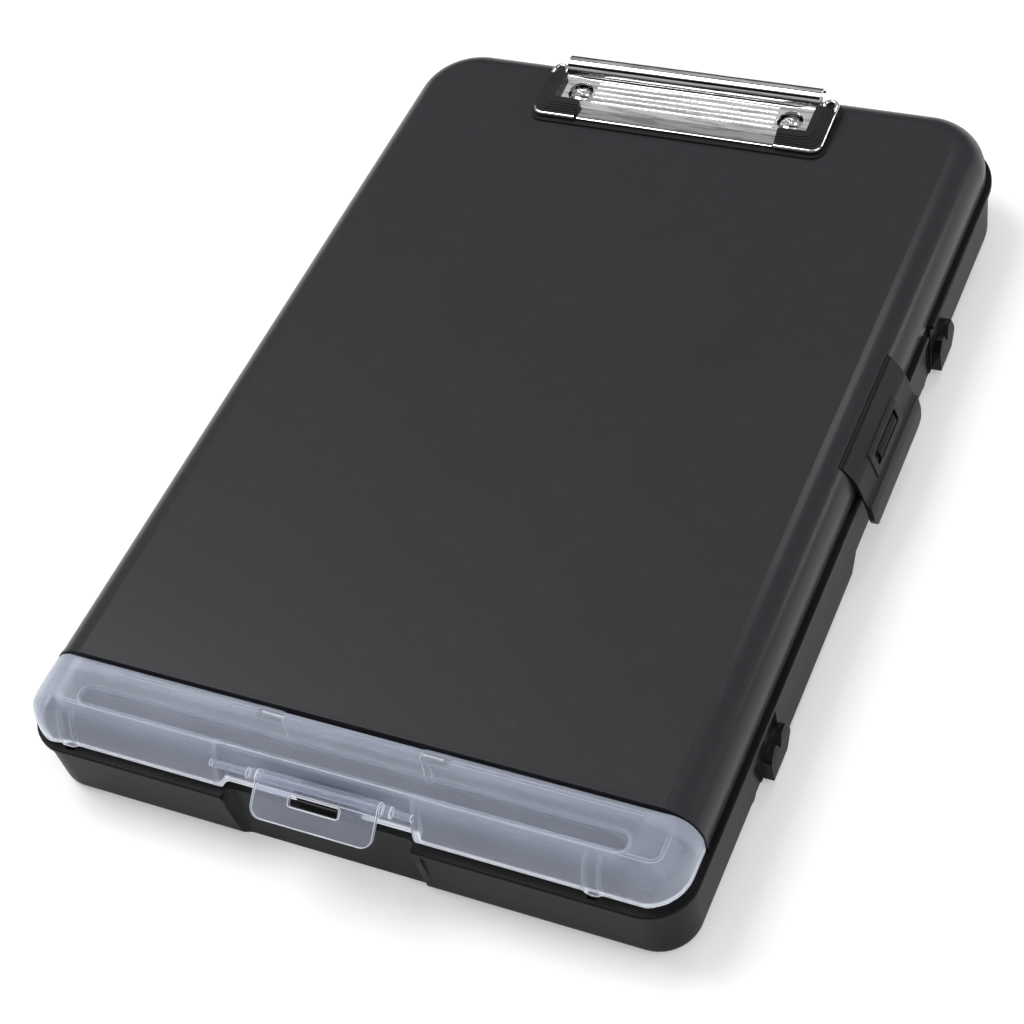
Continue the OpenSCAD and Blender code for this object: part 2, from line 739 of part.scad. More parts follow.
module lid_board() {
    y0 = fy(lid_front);
    r_in = lid_corner_r - lid_edge_r;
    y_flat = lid_back - lid_edge_r;
    latch_y0 = fy(latch_y - latch_w / 2) - run_gap;
    latch_y1 = fy(latch_y + latch_w / 2) + run_gap;
    rivet_at = by(pivot_y + rivet_v);
    color([0.17, 0.17, 0.18]) difference() {
        union() {
            sweep_round(lid_w, y0, lid_back, 0, lid_corner_r, false) lid_section();
            translate([0, 0, lid_top - lid_t]) linear_extrude(lid_t) {
                translate([-edge_x - 1, y0]) square([2 * edge_x + 2, y_flat - r_in - y0]);
                translate([-edge_x + r_in, y0]) square([2 * (edge_x - r_in), y_flat + 1 - y0]);
                for (s = [-1, 1]) {
                    translate([s * (edge_x - r_in), y_flat - r_in]) circle(r = r_in + 1);
                }
            }
            // fine bead along the front edge
            along_y(y0, y0 + 1.2) difference() {
                arch(-bead_h, lid_z);
                arch(1, lid_z - 1);
            }
            // thick stretch of the edge that carries the latch
            along_y(latch_y0 - 5, latch_y1 + 5) difference() {
                intersection() {
                    arch(1, edge_z - 2);
                    translate([edge_x - 3, 0]) square([40, 80]);
                }
                arch(lid_t + 3.8, 0);
            }
            // hinge knuckles, each on a short web
            for (k = [-1, 0, 1]) {
                y = k * hinge_pitch;
                knuckles(y, [0]);
                along_y(y - knuckle_l / 2, y + knuckle_l / 2) polygon([
                    [-hinge_x, hinge_z], [-hinge_x + 1.7, lid_z], [-lid_w / 2 + 1, lid_z],
                    [-lid_w / 2 + 1, lid_z + 4], [-lid_w / 2 - 0.6, lid_z + 4],
                    [-hinge_x - 0.9, hinge_z + 2.25]
                ]);
            }
        }
        along_y(latch_y0, latch_y1) latch_pocket();
        translate([latch_axis[0], fy(latch_y), latch_axis[1]]) rotate([90, 0, 0]) cylinder(
            d = latch_pin_d + 2 * pin_fit, h = latch_w + 2 * latch_pin_over + 0.4, center = true
        );
        for (k = [-1, 0, 1]) {
            translate([-hinge_x, k * hinge_pitch, hinge_z]) rotate([90, 0, 0])
                cylinder(d = hinge_pin_d + 2 * pin_fit, h = 2 * knuckle_l, center = true);
        }
        for (s = [-1, 1]) {
            translate([s * rivet_pitch / 2, rivet_at, lid_top - lid_t - 1])
                cylinder(d = rivet_bore_d, h = lid_t + 2);
        }
    }
}

// Side latch

// Section of the latch across the case, from its barrel down over the rim.
module latch_section(d) {
    x = lid_w / 2;
    polygon([
        latch_axis + [2.0, 1.1], [x - 0.1 + d, edge_z + 5.5], [x + 1.7 + d, edge_z + 1.9],
        [x + 2.8 + d, base_h + 3], [x + 3.8 + d, base_h - 1], [x + 4.4 + d, base_h - 2.8],
        [x + 5.6 + d, base_h - 3.4], [x + 6.4 + d, base_h - 8], [x + 6.8, latch_foot_z + 3],
        [x + 6.6, latch_foot_z + 0.8], [x + 5.9, latch_foot_z], [x + 5, latch_foot_z + 0.5],
        [x + 4.7, latch_foot_z + 4], [x + 3.8, base_h - 5], [x + 2.8, base_h - 1],
        [x + 2.7, base_h + 0.6], [x + 2.7 - latch_t * 0.7, base_h + 3.2],
        [x + 2.4 - latch_t, edge_z + 1.2], [x - 1.2, edge_z + 4.2], latch_axis + [1.5, -1.4],
        latch_axis
    ]);
}

module side_latch() {
    y0 = fy(latch_y - latch_w / 2);
    y1 = fy(latch_y + latch_w / 2);
    color([0.06, 0.06, 0.065]) difference() {
        union() {
            along_y(y0, y1) translate(latch_axis) circle(r = latch_barrel_r);
            intersection() {
                union() {
                    along_y(y0, y1) latch_section(0);
                    // raised panel round the slot
                    intersection() {
                        along_y(
                            fy(latch_y - latch_slot_w / 2 - 3),
                            fy(latch_y + latch_slot_w / 2 + 3)
                        ) latch_section(0.5);
                        block([0, y0, base_h - 2], [case_w, y1, base_h + 9]);
                    }
                }
                along_x(0, case_w) translate([0, latch_foot_z])
                    slab(y0, 0, y1, latch_axis[1] - latch_foot_z + 20, latch_corner_r);
            }
        }
        along_x(lid_w / 2 - 3, case_w) slab(
            fy(latch_y - latch_slot_w / 2), latch_slot_z,
            fy(latch_y + latch_slot_w / 2), latch_slot_z + latch_slot_h, 1
        );
        translate([latch_axis[0], fy(latch_y), latch_axis[1]]) rotate([90, 0, 0])
            cylinder(d = latch_pin_d + 2 * pin_fit, h = latch_w + 2, center = true);
    }
}

module side_latch_pin() {
    color([0.75, 0.75, 0.77]) translate([latch_axis[0], fy(latch_y), latch_axis[1]])
        rotate([90, 0, 0])
            cylinder(d = latch_pin_d, h = latch_w + 2 * latch_pin_over, center = true);
}

// Clip

// Puts the jaw's own plane, with x sideways, y back and z up from the pivot, on the lid.
module on_pivot(tilt) {
    translate([0, by(pivot_y), pivot_z]) rotate([tilt, 0, 0]) children();
}

module clip_pad() {
    color([0.03, 0.03, 0.03]) translate([0, 0, lid_top]) linear_extrude(pad_t) difference() {
        half = grip_out + 1.2;
        slab(-half, by(pivot_y + wire_front + 2.3), half, by(pivot_y - 3), 5);
        for (s = [-1, 1]) {
            translate([s * rivet_pitch / 2, by(pivot_y + rivet_v)]) circle(d = rivet_bore_d);
        }
    }
}

module clip_base_plate() {
    z = lid_top + pad_t;
    color([0.78, 0.78, 0.8]) difference() {
        union() {
            translate([0, 0, z]) linear_extrude(plate_t)
                slab(-plate_half, by(pivot_y + plate_front), plate_half, by(pivot_y - 2), 2);
            for (s = [-1, 1]) {
                along_x(s * ear_x - ear_t / 2, s * ear_x + ear_t / 2) {
                    translate([by(pivot_y) - 2, z]) square([4, pivot_z - z]);
                    translate([by(pivot_y), pivot_z]) circle(r = 2.2);
                }
            }
        }
        on_pivot(0) rotate([0, 90, 0])
            cylinder(d = rod_d + 2 * pin_fit, h = spine_l, center = true);
        for (s = [-1, 1]) {
            translate([s * rivet_pitch / 2, by(pivot_y + rivet_v), z - 1])
                cylinder(d = rivet_bore_d, h = plate_t + 2);
        }
    }
}

module clip_rivets() {
    z = lid_top + pad_t + plate_t;
    head_h = 1.9;
    tail_z = lid_top - lid_t - washer_t;
    ball_r = (rivet_head_d * rivet_head_d / 4 + head_h * head_h) / (2 * head_h);
    color([0.8, 0.8, 0.82]) for (s = [-1, 1]) {
        translate([s * rivet_pitch / 2, by(pivot_y + rivet_v), 0]) {
            difference() {
                intersection() {
                    translate([0, 0, z + head_h - ball_r]) sphere(r = ball_r);
                    translate([0, 0, z]) cylinder(d = rivet_head_d, h = head_h);
                }
                translate([0, 0, z + head_h - 0.7]) cylinder(d = 1.8, h = 2);
            }
            translate([0, 0, tail_z - 1]) cylinder(d = rivet_d, h = z + 0.5 - tail_z + 1);
            translate([0, 0, tail_z - 1]) cylinder(d = 5.4, h = 1);
        }
    }
}

module clip_rivet_washers() {
    z = lid_top - lid_t;
    color([0.7, 0.7, 0.72]) for (s = [-1, 1]) {
        translate([s * rivet_pitch / 2, by(pivot_y + rivet_v), z - washer_t]) difference() {
            cylinder(d = washer_d, h = washer_t);
            translate([0, 0, -1]) cylinder(d = rivet_bore_d, h = 3);
        }
    }
}

module clip_pivot_rod() {
    color([0.7, 0.7, 0.72]) on_pivot(0) rotate([0, 90, 0])
        cylinder(d = rod_d, h = spine_l - 1, center = true);
}

// Profile of the jaw as (y, z) from the pivot: rolled spine, wall and plate with its lip.
module jaw_profile() {
    r = spine_r;
    t = jaw_t;
    f = jaw_reach;
    intersection() {
        difference() {
            circle(r = r);
            circle(r = r - t);
        }
        translate([-2 * r, 0]) square(4 * r);
    }
    polygon([
        [-r, 0], [-r, t - 0.6], [-f + 5.4, t - 0.6], [-f + 0.4, t - 1], [-f, t - 1.4],
        [-f + 0.4, -1], [-f + 5.4, -0.6], [-r + t, -0.6], [-r + t, 0.001], [-r, 0.001]
    ]);
}

module clip_jaw() {
    rib_r = 0.6;
    rib_first = -7.2;
    rib_step = 12.4 / jaw_ribs;
    color([0.8, 0.8, 0.82]) on_pivot(jaw_tilt) difference() {
        union() {
            along_x(-jaw_half, jaw_half) jaw_profile();
            for (s = [-1, 1]) {
                along_x(s * (ear_x - 1.5) - lug_t / 2, s * (ear_x - 1.5) + lug_t / 2) {
                    circle(r = rod_d / 2 + 1.1);
                    intersection() {
                        circle(r = spine_in + 0.1);
                        translate([-10, 0]) square(20);
                    }
                }
            }
            for (i = [0 : jaw_ribs - 1]) {
                translate([0, rib_first - i * rib_step, jaw_t - 0.6 - 0.3]) rotate([0, 90, 0])
                    cylinder(r = rib_r, h = rivet_pitch - 12, center = true);
            }
        }
        rotate([0, 90, 0]) cylinder(d = rod_d + 2 * pin_fit, h = spine_l + 2, center = true);
        for (s = [-1, 1]) {
            translate([s * rivet_pitch / 2, -rivet_v, -5])
                cylinder(d = rivet_head_d + 1.6, h = 10);
        }
        // corners that the wire takes the place of
        for (s = [0, 1]) {
            mirror([s, 0, 0])
                block([corner_x, -jaw_reach - 5, -5], [jaw_half + 5, -corner_v, 5]);
        }
    }
}

// Wire round one end of the jaw, from its inner leg round the hairpin and the front corner.
module wire(d) {
    module leg(x, y0, y1) {
        translate([x, y1, 0]) rotate([90, 0, 0]) cylinder(d = d, h = y1 - y0);
    }
    front = -wire_front;
    leg(wire_in, -11, wire_back);
    leg(wire_out, front + wire_corner, wire_back);
    translate([wire_in + wire_turn, wire_back, 0]) rotate_extrude(angle = 180)
        translate([wire_turn, 0]) circle(d = d);
    translate([wire_out - wire_corner, front + wire_corner, 0]) rotate([0, 0, -90])
        rotate_extrude(angle = 90) translate([wire_corner, 0]) circle(d = d);
    translate([wire_end, front, 0]) rotate([0, 90, 0])
        cylinder(d = d, h = wire_out - wire_corner - wire_end);
}

module clip_wire_bail() {
    color([0.8, 0.8, 0.82]) on_pivot(jaw_tilt) for (s = [0, 1]) mirror([s, 0, 0]) wire(wire_d);
}

// Outline of the right grip, drawn in by d on its two outer sides.
module grip_outline(d) {
    difference() {
        union() {
            slab(grip_side, d - grip_front, grip_out - d, -grip_back, 1.2);
            slab(grip_in, d - grip_front, grip_out - d, grip_depth - grip_front, 1.2);
        }
        translate([grip_out - d, d - grip_front]) corner_cut(4, -1);
    }
}

module grip() {
    difference() {
        for (i = [0 : grip_steps - 1]) {
            translate([0, 0, -0.2]) linear_extrude(1.4 + i * grip_rise)
                grip_outline(i * grip_step);
        }
        wire(wire_d + 0.1);
        block([0, -grip_front - 1, -2], [jaw_half + 0.3, 0, jaw_t - 0.55]);
    }
}

module clip_grip_right() {
    color([0.04, 0.04, 0.04]) on_pivot(jaw_tilt) grip();
}

module clip_grip_left() {
    color([0.04, 0.04, 0.04]) mirror([1, 0, 0]) on_pivot(jaw_tilt) grip();
}

// Torsion springs

// Points of one spring from the leg on the base plate to the leg in the spine.
spring_steps = 12;
spring_path = concat(
    [[spring_x, -8, -spring_r - 0.45], [spring_x, -4, -spring_r - 0.2]],
    [for (i = [0 : spring_turns * spring_steps])
        [
            spring_x + spring_pitch * i / spring_steps,
            -spring_r * sin(i * 360 / spring_steps),
            -spring_r * cos(i * 360 / spring_steps)
        ]
    ],
    [[
        spring_x + spring_pitch * (spring_turns + 0.1), -2.6, -spring_r + 0.25
    ]]
);

function unit(v) = v / norm(v);

// Triangles of a tube of n sides and m rings, with flat ends.
function tube_faces(n, m) = concat(
    [for (j = [0 : m - 2], i = [0 : n - 1])
        [j * n + i, j * n + (i + 1) % n, (j + 1) * n + (i + 1) % n]],
    [for (j = [0 : m - 2], i = [0 : n - 1])
        [j * n + i, (j + 1) * n + (i + 1) % n, (j + 1) * n + i]],
    [for (i = [1 : n - 2]) [0, i + 1, i]],
    [for (i = [1 : n - 2]) [(m - 1) * n, (m - 1) * n + i, (m - 1) * n + i + 1]]
);

// Rings of n points at radius r round each point of a path.
function tube_points(path, r, n) = [
    for (j = [0 : len(path) - 1])
        let (
            a = path[max(j - 1, 0)],
            b = path[min(j + 1, len(path) - 1)],
            t = unit(b - a),
            u = unit(cross(t, [1, 0, 0])),
            v = cross(t, u)
        )
        for (i = [0 : n - 1])
            path[j] + r * (cos(i * 360 / n) * u + sin(i * 360 / n) * v)
];

// Least gap of the wound wire to itself, between points a half turn or more apart.
spring_gap = min([
    for (i = [0 : len(spring_path) - 1], j = [0 : len(spring_path) - 1])
        if (j >= i + spring_steps / 2) norm(spring_path[j] - spring_path[i]) - spring_wire
]);

module clip_torsion_springs() {
    echo(spring_gap = spring_gap);
    color([0.6, 0.6, 0.62]) on_pivot(0) for (s = [0, 1]) mirror([s, 0, 0])
        polyhedron(
            points = tube_points(spring_path, spring_wire / 2, 6),
            faces = tube_faces(6, len(spring_path))
        );
}

base_shell();
pen_tray();
lid_hinge_pins();
pen_door_hinge_pin();
lid_board();
side_latch();
side_latch_pin();
pen_door();
pen_tab();
pen_tab_pin();
clip_pad();
clip_base_plate();
clip_rivets();
clip_rivet_washers();
clip_pivot_rod();
clip_jaw();
clip_torsion_springs();
clip_wire_bail();
clip_grip_left();
clip_grip_right();
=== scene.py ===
"""Storage clipboard box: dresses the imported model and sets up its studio.

Each sub-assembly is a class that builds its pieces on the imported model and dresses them. Most
pieces keep the shapes of that model. The pen door gets soft creases, a channel and a cover over
its hinge block, which is cut back for it. The rivets, springs and wire are made anew, rounder.
"""
import logging
import math
from collections.abc import Callable, Sequence
from dataclasses import dataclass, field
from enum import Enum
from typing import Any, ClassVar

import bmesh
import bpy
import numpy as np
from mathutils import Matrix, Vector


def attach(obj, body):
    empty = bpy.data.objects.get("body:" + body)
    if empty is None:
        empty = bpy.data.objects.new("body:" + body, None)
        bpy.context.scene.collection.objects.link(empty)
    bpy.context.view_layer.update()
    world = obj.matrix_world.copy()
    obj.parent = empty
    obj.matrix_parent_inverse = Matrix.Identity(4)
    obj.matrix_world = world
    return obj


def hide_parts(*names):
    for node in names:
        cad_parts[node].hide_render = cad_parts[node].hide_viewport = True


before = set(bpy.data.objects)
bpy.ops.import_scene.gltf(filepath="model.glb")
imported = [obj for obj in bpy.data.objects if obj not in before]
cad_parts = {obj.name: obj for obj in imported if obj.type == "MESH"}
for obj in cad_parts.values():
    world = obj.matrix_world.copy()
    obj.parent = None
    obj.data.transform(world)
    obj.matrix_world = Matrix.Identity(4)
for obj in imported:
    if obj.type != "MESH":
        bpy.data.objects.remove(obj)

LOG = logging.getLogger("clipboard_case")
MM = 0.001
WELD = 2e-6
SHORT_EDGE = 1e-6
POLE = 1e-7
FLAT = math.radians(0.05)
HARD_EDGE = math.radians(32.0)
HARD_RIVET_EDGE = math.radians(50.0)
FLAT_FACES_LEAD = 60
BEVEL_SAMPLES = 6
Triple = tuple[float, float, float]
Pair = tuple[float, float]


# ---- Node trees as expressions


def sign(operation: str, swapped: bool = False) -> Callable[["Sock", Any], "Sock"]:
    """Makes the method of an arithmetic sign.

    Args:
        operation: Operation of the Math node.
        swapped: Whether the socket stands on the right of the sign.

    Returns:
        The method.
    """
    def method(self: "Sock", other: Any) -> "Sock":
        """Joins the socket with a number or with another socket."""
        return self.tree.calc(operation, *((other, self) if swapped else (self, other)))
    return method


class Sock:
    """An output socket that takes part in expressions."""

    def __init__(self, tree: "Tree", socket: bpy.types.NodeSocket) -> None:
        """Wraps an output socket of a tree."""
        self.tree = tree
        self.socket = socket

    __add__, __radd__ = sign("ADD"), sign("ADD", True)
    __sub__, __rsub__ = sign("SUBTRACT"), sign("SUBTRACT", True)
    __mul__, __rmul__ = sign("MULTIPLY"), sign("MULTIPLY", True)
    __truediv__ = sign("DIVIDE")

    def above(self, level: float, width: float) -> "Sock":
        """Soft step from 0 to 1, of a width and with its middle at a level."""
        step = {0: self, 1: level - width / 2, 2: level + width / 2, 3: 0.0, 4: 1.0}
        return self.tree.node("ShaderNodeMapRange", {"interpolation_type": "SMOOTHSTEP"}, step)


class Tree:
    """A node tree, for a material, the world or a geometry recipe."""

    def __init__(self, nodes: bpy.types.NodeTree) -> None:
        """Empties a tree and wraps it."""
        self.nodes = nodes
        nodes.nodes.clear()

    def node(
        self, kind: str, settings: dict[str, Any] | None = None,
        inputs: dict[int | str, Any] | None = None, out: int | str = 0,
    ) -> Sock:
        """Adds a node.

        Args:
            kind: The node's type.
            settings: Its own settings, set first. The key "stops" holds a ramp's stops.
            inputs: Values or sockets, by the index or name of the input.
            out: Index or name of the output to use.

        Returns:
            The output, or a wrapper without a socket for a node that has none.
        """
        made = self.nodes.nodes.new(kind)
        for key, value in (settings or {}).items():
            if key == "stops":
                self._stops(made.color_ramp, value)
            else:
                setattr(made, key, value)
        for key, value in (inputs or {}).items():
            socket = made.inputs[key]
            if isinstance(value, Sock):
                self.nodes.links.new(value.socket, socket)
            elif value is not None:
                socket.default_value = self._fitted(socket, value)
        return Sock(self, made.outputs[out] if len(made.outputs) else None)

    @staticmethod
    def _fitted(socket: bpy.types.NodeSocket, value: Any) -> Any:
        """A value in the form that a socket takes, with an opaque alpha for a colour."""
        return (*value, 1.0) if socket.type == "RGBA" and len(value) == 3 else value

    @staticmethod
    def _stops(ramp: bpy.types.ColorRamp, stops: Sequence[tuple[float, float]]) -> None:
        """Sets a ramp's stops.

        Args:
            ramp: The ramp.
            stops: Pairs of place and grey value.
        """
        while len(ramp.elements) < len(stops):
            ramp.elements.new(0.5)
        for element, (place, grey) in zip(ramp.elements, stops):
            element.position = place
            element.color = (grey, grey, grey, 1.0)

    def calc(self, operation: str, *values: Any) -> Sock:
        """Adds a Math node with an operation on numbers or sockets."""
        return self.node("ShaderNodeMath", {"operation": operation}, dict(enumerate(values)))

    def attribute(self, name: str) -> Sock:
        """The value that a mesh holds at its points under a name."""
        return self.node("ShaderNodeAttribute", {"attribute_name": name}, out="Fac")

    def rays(self, *kinds: str) -> Sock:
        """Tells rays apart.

        Args:
            kinds: Kinds of rays, as the Light Path node calls them.

        Returns:
            1 for rays of these kinds, else 0.
        """
        found = [self.node("ShaderNodeLightPath", out=f"Is {kind} Ray") for kind in kinds]
        one = found[0]
        for other in found[1:]:
            one = self.calc("MAXIMUM", one, other)
        return one

    def bump(self, height: Sock, strength: float, depth: float, normal: Sock | None) -> Sock:
        """Normal of a relief from 0 to 1, with a depth in metres, on top of another normal."""
        values = {"Strength": strength, "Distance": depth, "Height": height, "Normal": normal}
        return self.node("ShaderNodeBump", None, values)

    def blend(self, a: Any, b: Any, factor: Any) -> Sock:
        """Colour between a, at factor 0, and b, at factor 1."""
        return self.node("ShaderNodeMix", {"data_type": "RGBA"}, {0: factor, 6: a, 7: b}, out=2)

    def noise(self, place: Sock, size: float, detail: float = 2.0) -> Sock:
        """Noise between 0 and 1, with swellings of a size in metres and octaves of detail."""
        values = {"Vector": place, "Scale": 1.0 / size, "Detail": detail, "Roughness": 0.55}
        return self.node("ShaderNodeTexNoise", {"noise_dimensions": "3D"}, values)


class Recipe(Tree):
    """A geometry tree with named inputs."""

    def __init__(self, name: str, inputs: dict[str, tuple[str, Any]]) -> None:
        """Makes the tree with its group input.

        Args:
            name: Name of the tree.
            inputs: Socket type and default of each named input.
        """
        group = bpy.data.node_groups.new(name, "GeometryNodeTree")
        super().__init__(group)
        group.interface.new_socket("Geometry", in_out="INPUT", socket_type="NodeSocketGeometry")
        self.keys: dict[str, str] = {}
        for label, (kind, default) in inputs.items():
            item = group.interface.new_socket(label, in_out="INPUT", socket_type=kind)
            if default is not None:
                item.default_value = default
            self.keys[label] = item.identifier
        group.interface.new_socket("Geometry", in_out="OUTPUT", socket_type="NodeSocketGeometry")
        self.entry = group.nodes.new("NodeGroupInput")

    def named(self, label: str) -> Sock:
        """The socket of a named input."""
        return Sock(self, self.entry.outputs[label])

    def result(self, shape: Sock) -> None:
        """Realizes the shape, gives it its finish and ends the tree.

        Args:
            shape: The geometry.
        """
        solid = self.node("GeometryNodeRealizeInstances", None, {0: shape})
        dressed = self.node(
            "GeometryNodeSetMaterial", None,
            {"Geometry": solid, "Material": self.named("Finish")},
        )
        self.node("NodeGroupOutput", None, {0: dressed})

    def grow(self, name: str, seed: bpy.types.Mesh, values: dict[str, Any]) -> bpy.types.Object:
        """Runs the tree on a seed mesh and keeps the plain mesh that comes out.

        Args:
            name: Name of the piece.
            seed: The mesh that goes into the tree.
            values: Values of the named inputs.

        Returns:
            The piece, without the modifier.
        """
        piece = linked(name, seed)
        made = piece.modifiers.new("recipe", "NODES")
        made.node_group = self.nodes
        for label, value in values.items():
            made[self.keys[label]] = value
        settle(piece)
        return piece


# ---- Finishes


class Slot(Enum):
    """The record's material slots."""

    CASE = "case_plastic"
    LID = "lid_plastic"
    LATCH = "latch_plastic"
    FROSTED = "frosted_plastic"
    STEEL = "pin_steel"
    CHROME = "clip_chrome"
    PAD = "pad_rubber"
    GRIP = "grip_plastic"


@dataclass(frozen=True)
class Finish:
    """What all finishes share."""

    slot: Slot
    colour: Triple
    roughness: float
    edge: float = 0.0003

    def make(self) -> bpy.types.Material:
        """Builds the material.

        Returns:
            The material.
        """
        material = bpy.data.materials.new(self.slot.value)
        material.use_nodes = True
        tree = Tree(material.node_tree)
        surface = self.surface(tree, tree.node("ShaderNodeTexCoord", out="Object"))
        tree.node("ShaderNodeOutputMaterial", None, {"Surface": surface})
        return material

    def surface(self, tree: Tree, place: Sock) -> Sock:
        """The shader, built in the material's tree from object coordinates."""
        raise NotImplementedError

    def scaled(self, share: float) -> Triple:
        """The finish's colour, made darker or lighter by a share."""
        return tuple(c * share for c in self.colour)

    def rounded(self, tree: Tree) -> tuple[Sock, Sock]:
        """Softens hard edges in the shading.

        Args:
            tree: The material's tree.

        Returns:
            The normal, and a mask that is 1 on the edges.
        """
        soft = tree.node("ShaderNodeBevel", {"samples": BEVEL_SAMPLES}, {"Radius": self.edge},
                         out="Normal")
        plain = tree.node("ShaderNodeNewGeometry", out="Normal")
        along = tree.node(
            "ShaderNodeVectorMath", {"operation": "DOT_PRODUCT"}, {0: soft, 1: plain}, out="Value",
        )
        return soft, (1.0 - along).above(0.06, 0.1)


@dataclass(frozen=True)
class MouldedPlastic(Finish):
    """Opaque moulded plastic with a spark-eroded grain, lighter on its edges from wear and a
    painted highlight.

    The sizes of the grain, the patches and the scuffs are in metres.
    """

    grain: float = 0.0004
    grain_depth: float = 0.00004
    patch: float = 0.045
    scuff: float = 0.006
    mottle: float = 0.12
    rub_and_highlight: float = 0.35
    ior: float = 1.33
    polish: float = 0.0

    def surface(self, tree: Tree, place: Sock) -> Sock:
        """The shader of the moulded plastic.

        Args:
            tree: The material's tree.
            place: Object coordinates.

        Returns:
            The shader socket.
        """
        normal, edge = self.rounded(tree)
        pits = tree.node(
            "ShaderNodeTexVoronoi", {"feature": "SMOOTH_F1"},
            {"Vector": place, "Scale": 1.0 / self.grain, "Smoothness": 0.6}, out="Distance",
        )
        fine = tree.noise(place, self.grain * 0.6, 3.0)
        patches = tree.noise(place, self.patch, 3.0)
        scuffs = tree.noise(place, self.scuff, 4.0).above(0.62, 0.12)
        # Edges turn lighter: partly rubbed wear, partly a painted highlight along rims and beads.
        worn_and_highlight = tuple(c + 0.05 for c in self.scaled(3.0))
        base = tree.blend(self.scaled(1.0 - self.mottle), self.scaled(1.0 + self.mottle),
                          patches * 0.75 + fine * 0.25)
        colour = tree.blend(base, worn_and_highlight, edge * self.rub_and_highlight + scuffs * 0.03)
        rough = self.roughness + (fine - 0.5) * 0.1 + (patches - 0.5) * 0.05 - edge * 0.08
        grain = tree.bump(pits * 0.7 + fine * 0.5, 0.55, self.grain_depth, normal)
        return tree.node("ShaderNodeBsdfPrincipled", None, {
            "Base Color": colour, "Roughness": rough, "Normal": grain, "IOR": self.ior,
            "Coat Weight": self.polish, "Coat Roughness": 0.2, "Coat IOR": 1.3,
        })


@dataclass(frozen=True)
class FrostedPlastic(Finish):
    """Milky plastic that lets light through and blurs what is behind it.

    The sizes of the frost, the clouds and the flow marks are in metres. The points of a mesh
    may hold how milky they are, with painted highlight lines (pale), and where the wall's cut
    edge shows with a painted glow (cut). Edges are painted near white and glow, though no lamp.
    """

    edge: float = 0.0005
    haze: float = 0.14
    # Strength of the painted glow that the edges give off, though they are no lamp.
    glow: float = 0.5
    frost: float = 0.0006
    frost_depth: float = 0.00002
    cloud: float = 0.022
    flow: float = 0.004
    # Near-white colour painted on the edges as a highlight.
    edge_highlight_colour: Triple = (0.93, 0.95, 0.98)
    clear_colour: Triple = (0.86, 0.89, 0.96)
    milk_ior: float = 1.46
    clear_ior: float = 1.12

    def surface(self, tree: Tree, place: Sock) -> Sock:
        """The shader of the frosted plastic.

        Args:
            tree: The material's tree.
            place: Object coordinates.

        Returns:
            The shader socket.
        """
        normal, edge = self.rounded(tree)
        frost = tree.noise(place, self.frost, 2.0)
        clouds = tree.noise(place, self.cloud, 2.0)
        flow = tree.noise(place, self.flow, 1.0)
        grazing = tree.node("ShaderNodeLayerWeight", None, {"Blend": 0.5}, out="Facing")
        # The edges and the door's lower cut edge are painted: near white, milkier and glowing.
        edge = tree.calc("MAXIMUM", edge, tree.attribute("cut"))
        haze = self.haze + clouds * 0.08 + grazing * 0.35 + edge * 0.6
        # The attribute pale adds milk and painted highlight lines.
        haze = haze + tree.attribute("pale") * 0.4
        milky = tree.blend(self.colour, self.scaled(1.2), clouds)
        rough = self.roughness + (frost - 0.5) * 0.1 - edge * 0.1
        relief = tree.bump(frost + flow * 0.8, 0.2, self.frost_depth, normal)
        milk = tree.node("ShaderNodeBsdfPrincipled", None, {
            "Base Color": tree.blend(milky, self.edge_highlight_colour, edge), "Roughness": rough,
            "Normal": relief, "IOR": self.milk_ior,
            "Emission Color": tree.blend((0.0, 0.0, 0.0), (1.0, 1.0, 1.0), edge),
            "Emission Strength": self.glow,
        })
        clear = tree.node("ShaderNodeBsdfPrincipled", None, {
            "Base Color": self.clear_colour, "Roughness": rough * 0.6, "Normal": normal,
            "IOR": self.clear_ior, "Transmission Weight": 1.0,
        })
        return tree.node("ShaderNodeMixShader", None, {0: haze, 1: clear, 2: milk})


@dataclass(frozen=True)
class Plating(Finish):
    """Bright chrome over pressed steel, with faint ripples and wiped streaks, in metres."""

    edge: float = 0.0002
    wave: float = 0.009
    wave_depth: float = 0.00002
    streak: float = 0.0009
    wipe: float = 0.0016
    stretch: Triple = (0.08, 1.0, 1.0)

    def surface(self, tree: Tree, place: Sock) -> Sock:
        """The shader of the plating.

        Args:
            tree: The material's tree.
            place: Object coordinates.

        Returns:
            The shader socket.
        """
        normal, edge = self.rounded(tree)
        long = tree.node("ShaderNodeMapping", None, {"Vector": place, "Scale": self.stretch})
        streaks = tree.noise(long, self.streak, 3.0)
        wiped = tree.noise(long, self.wipe, 3.0).above(0.48, 0.12)
        waves = tree.noise(place, self.wave, 1.0)
        colour = tree.blend(self.scaled(0.5), self.colour, wiped * 0.75 + 0.25 * (1.0 - edge))
        return tree.node("ShaderNodeBsdfPrincipled", None, {
            "Base Color": colour, "Metallic": 1.0,
            "Roughness": self.roughness + streaks * 0.06 + edge * 0.06,
            "Normal": tree.bump(waves, 0.5, self.wave_depth, normal),
        })


@dataclass(frozen=True)
class DrawnSteel(Finish):
    """Plain steel wire and pins with drawing marks and stains, in metres."""

    mark: float = 0.0004
    mark_depth: float = 0.00002
    stain: float = 0.005
    stretch: Triple = (1.0, 0.05, 1.0)

    def surface(self, tree: Tree, place: Sock) -> Sock:
        """The shader of the steel.

        Args:
            tree: The material's tree.
            place: Object coordinates.

        Returns:
            The shader socket.
        """
        long = tree.node("ShaderNodeMapping", None, {"Vector": place, "Scale": self.stretch})
        lines = tree.noise(long, self.mark, 3.0)
        stains = tree.noise(place, self.stain, 2.0)
        return tree.node("ShaderNodeBsdfPrincipled", None, {
            "Base Color": tree.blend(self.scaled(0.7), self.colour, lines * 0.6 + stains * 0.4),
            "Metallic": 1.0, "Roughness": self.roughness + lines * 0.12,
            "Normal": tree.bump(lines, 0.4, self.mark_depth, None),
        })


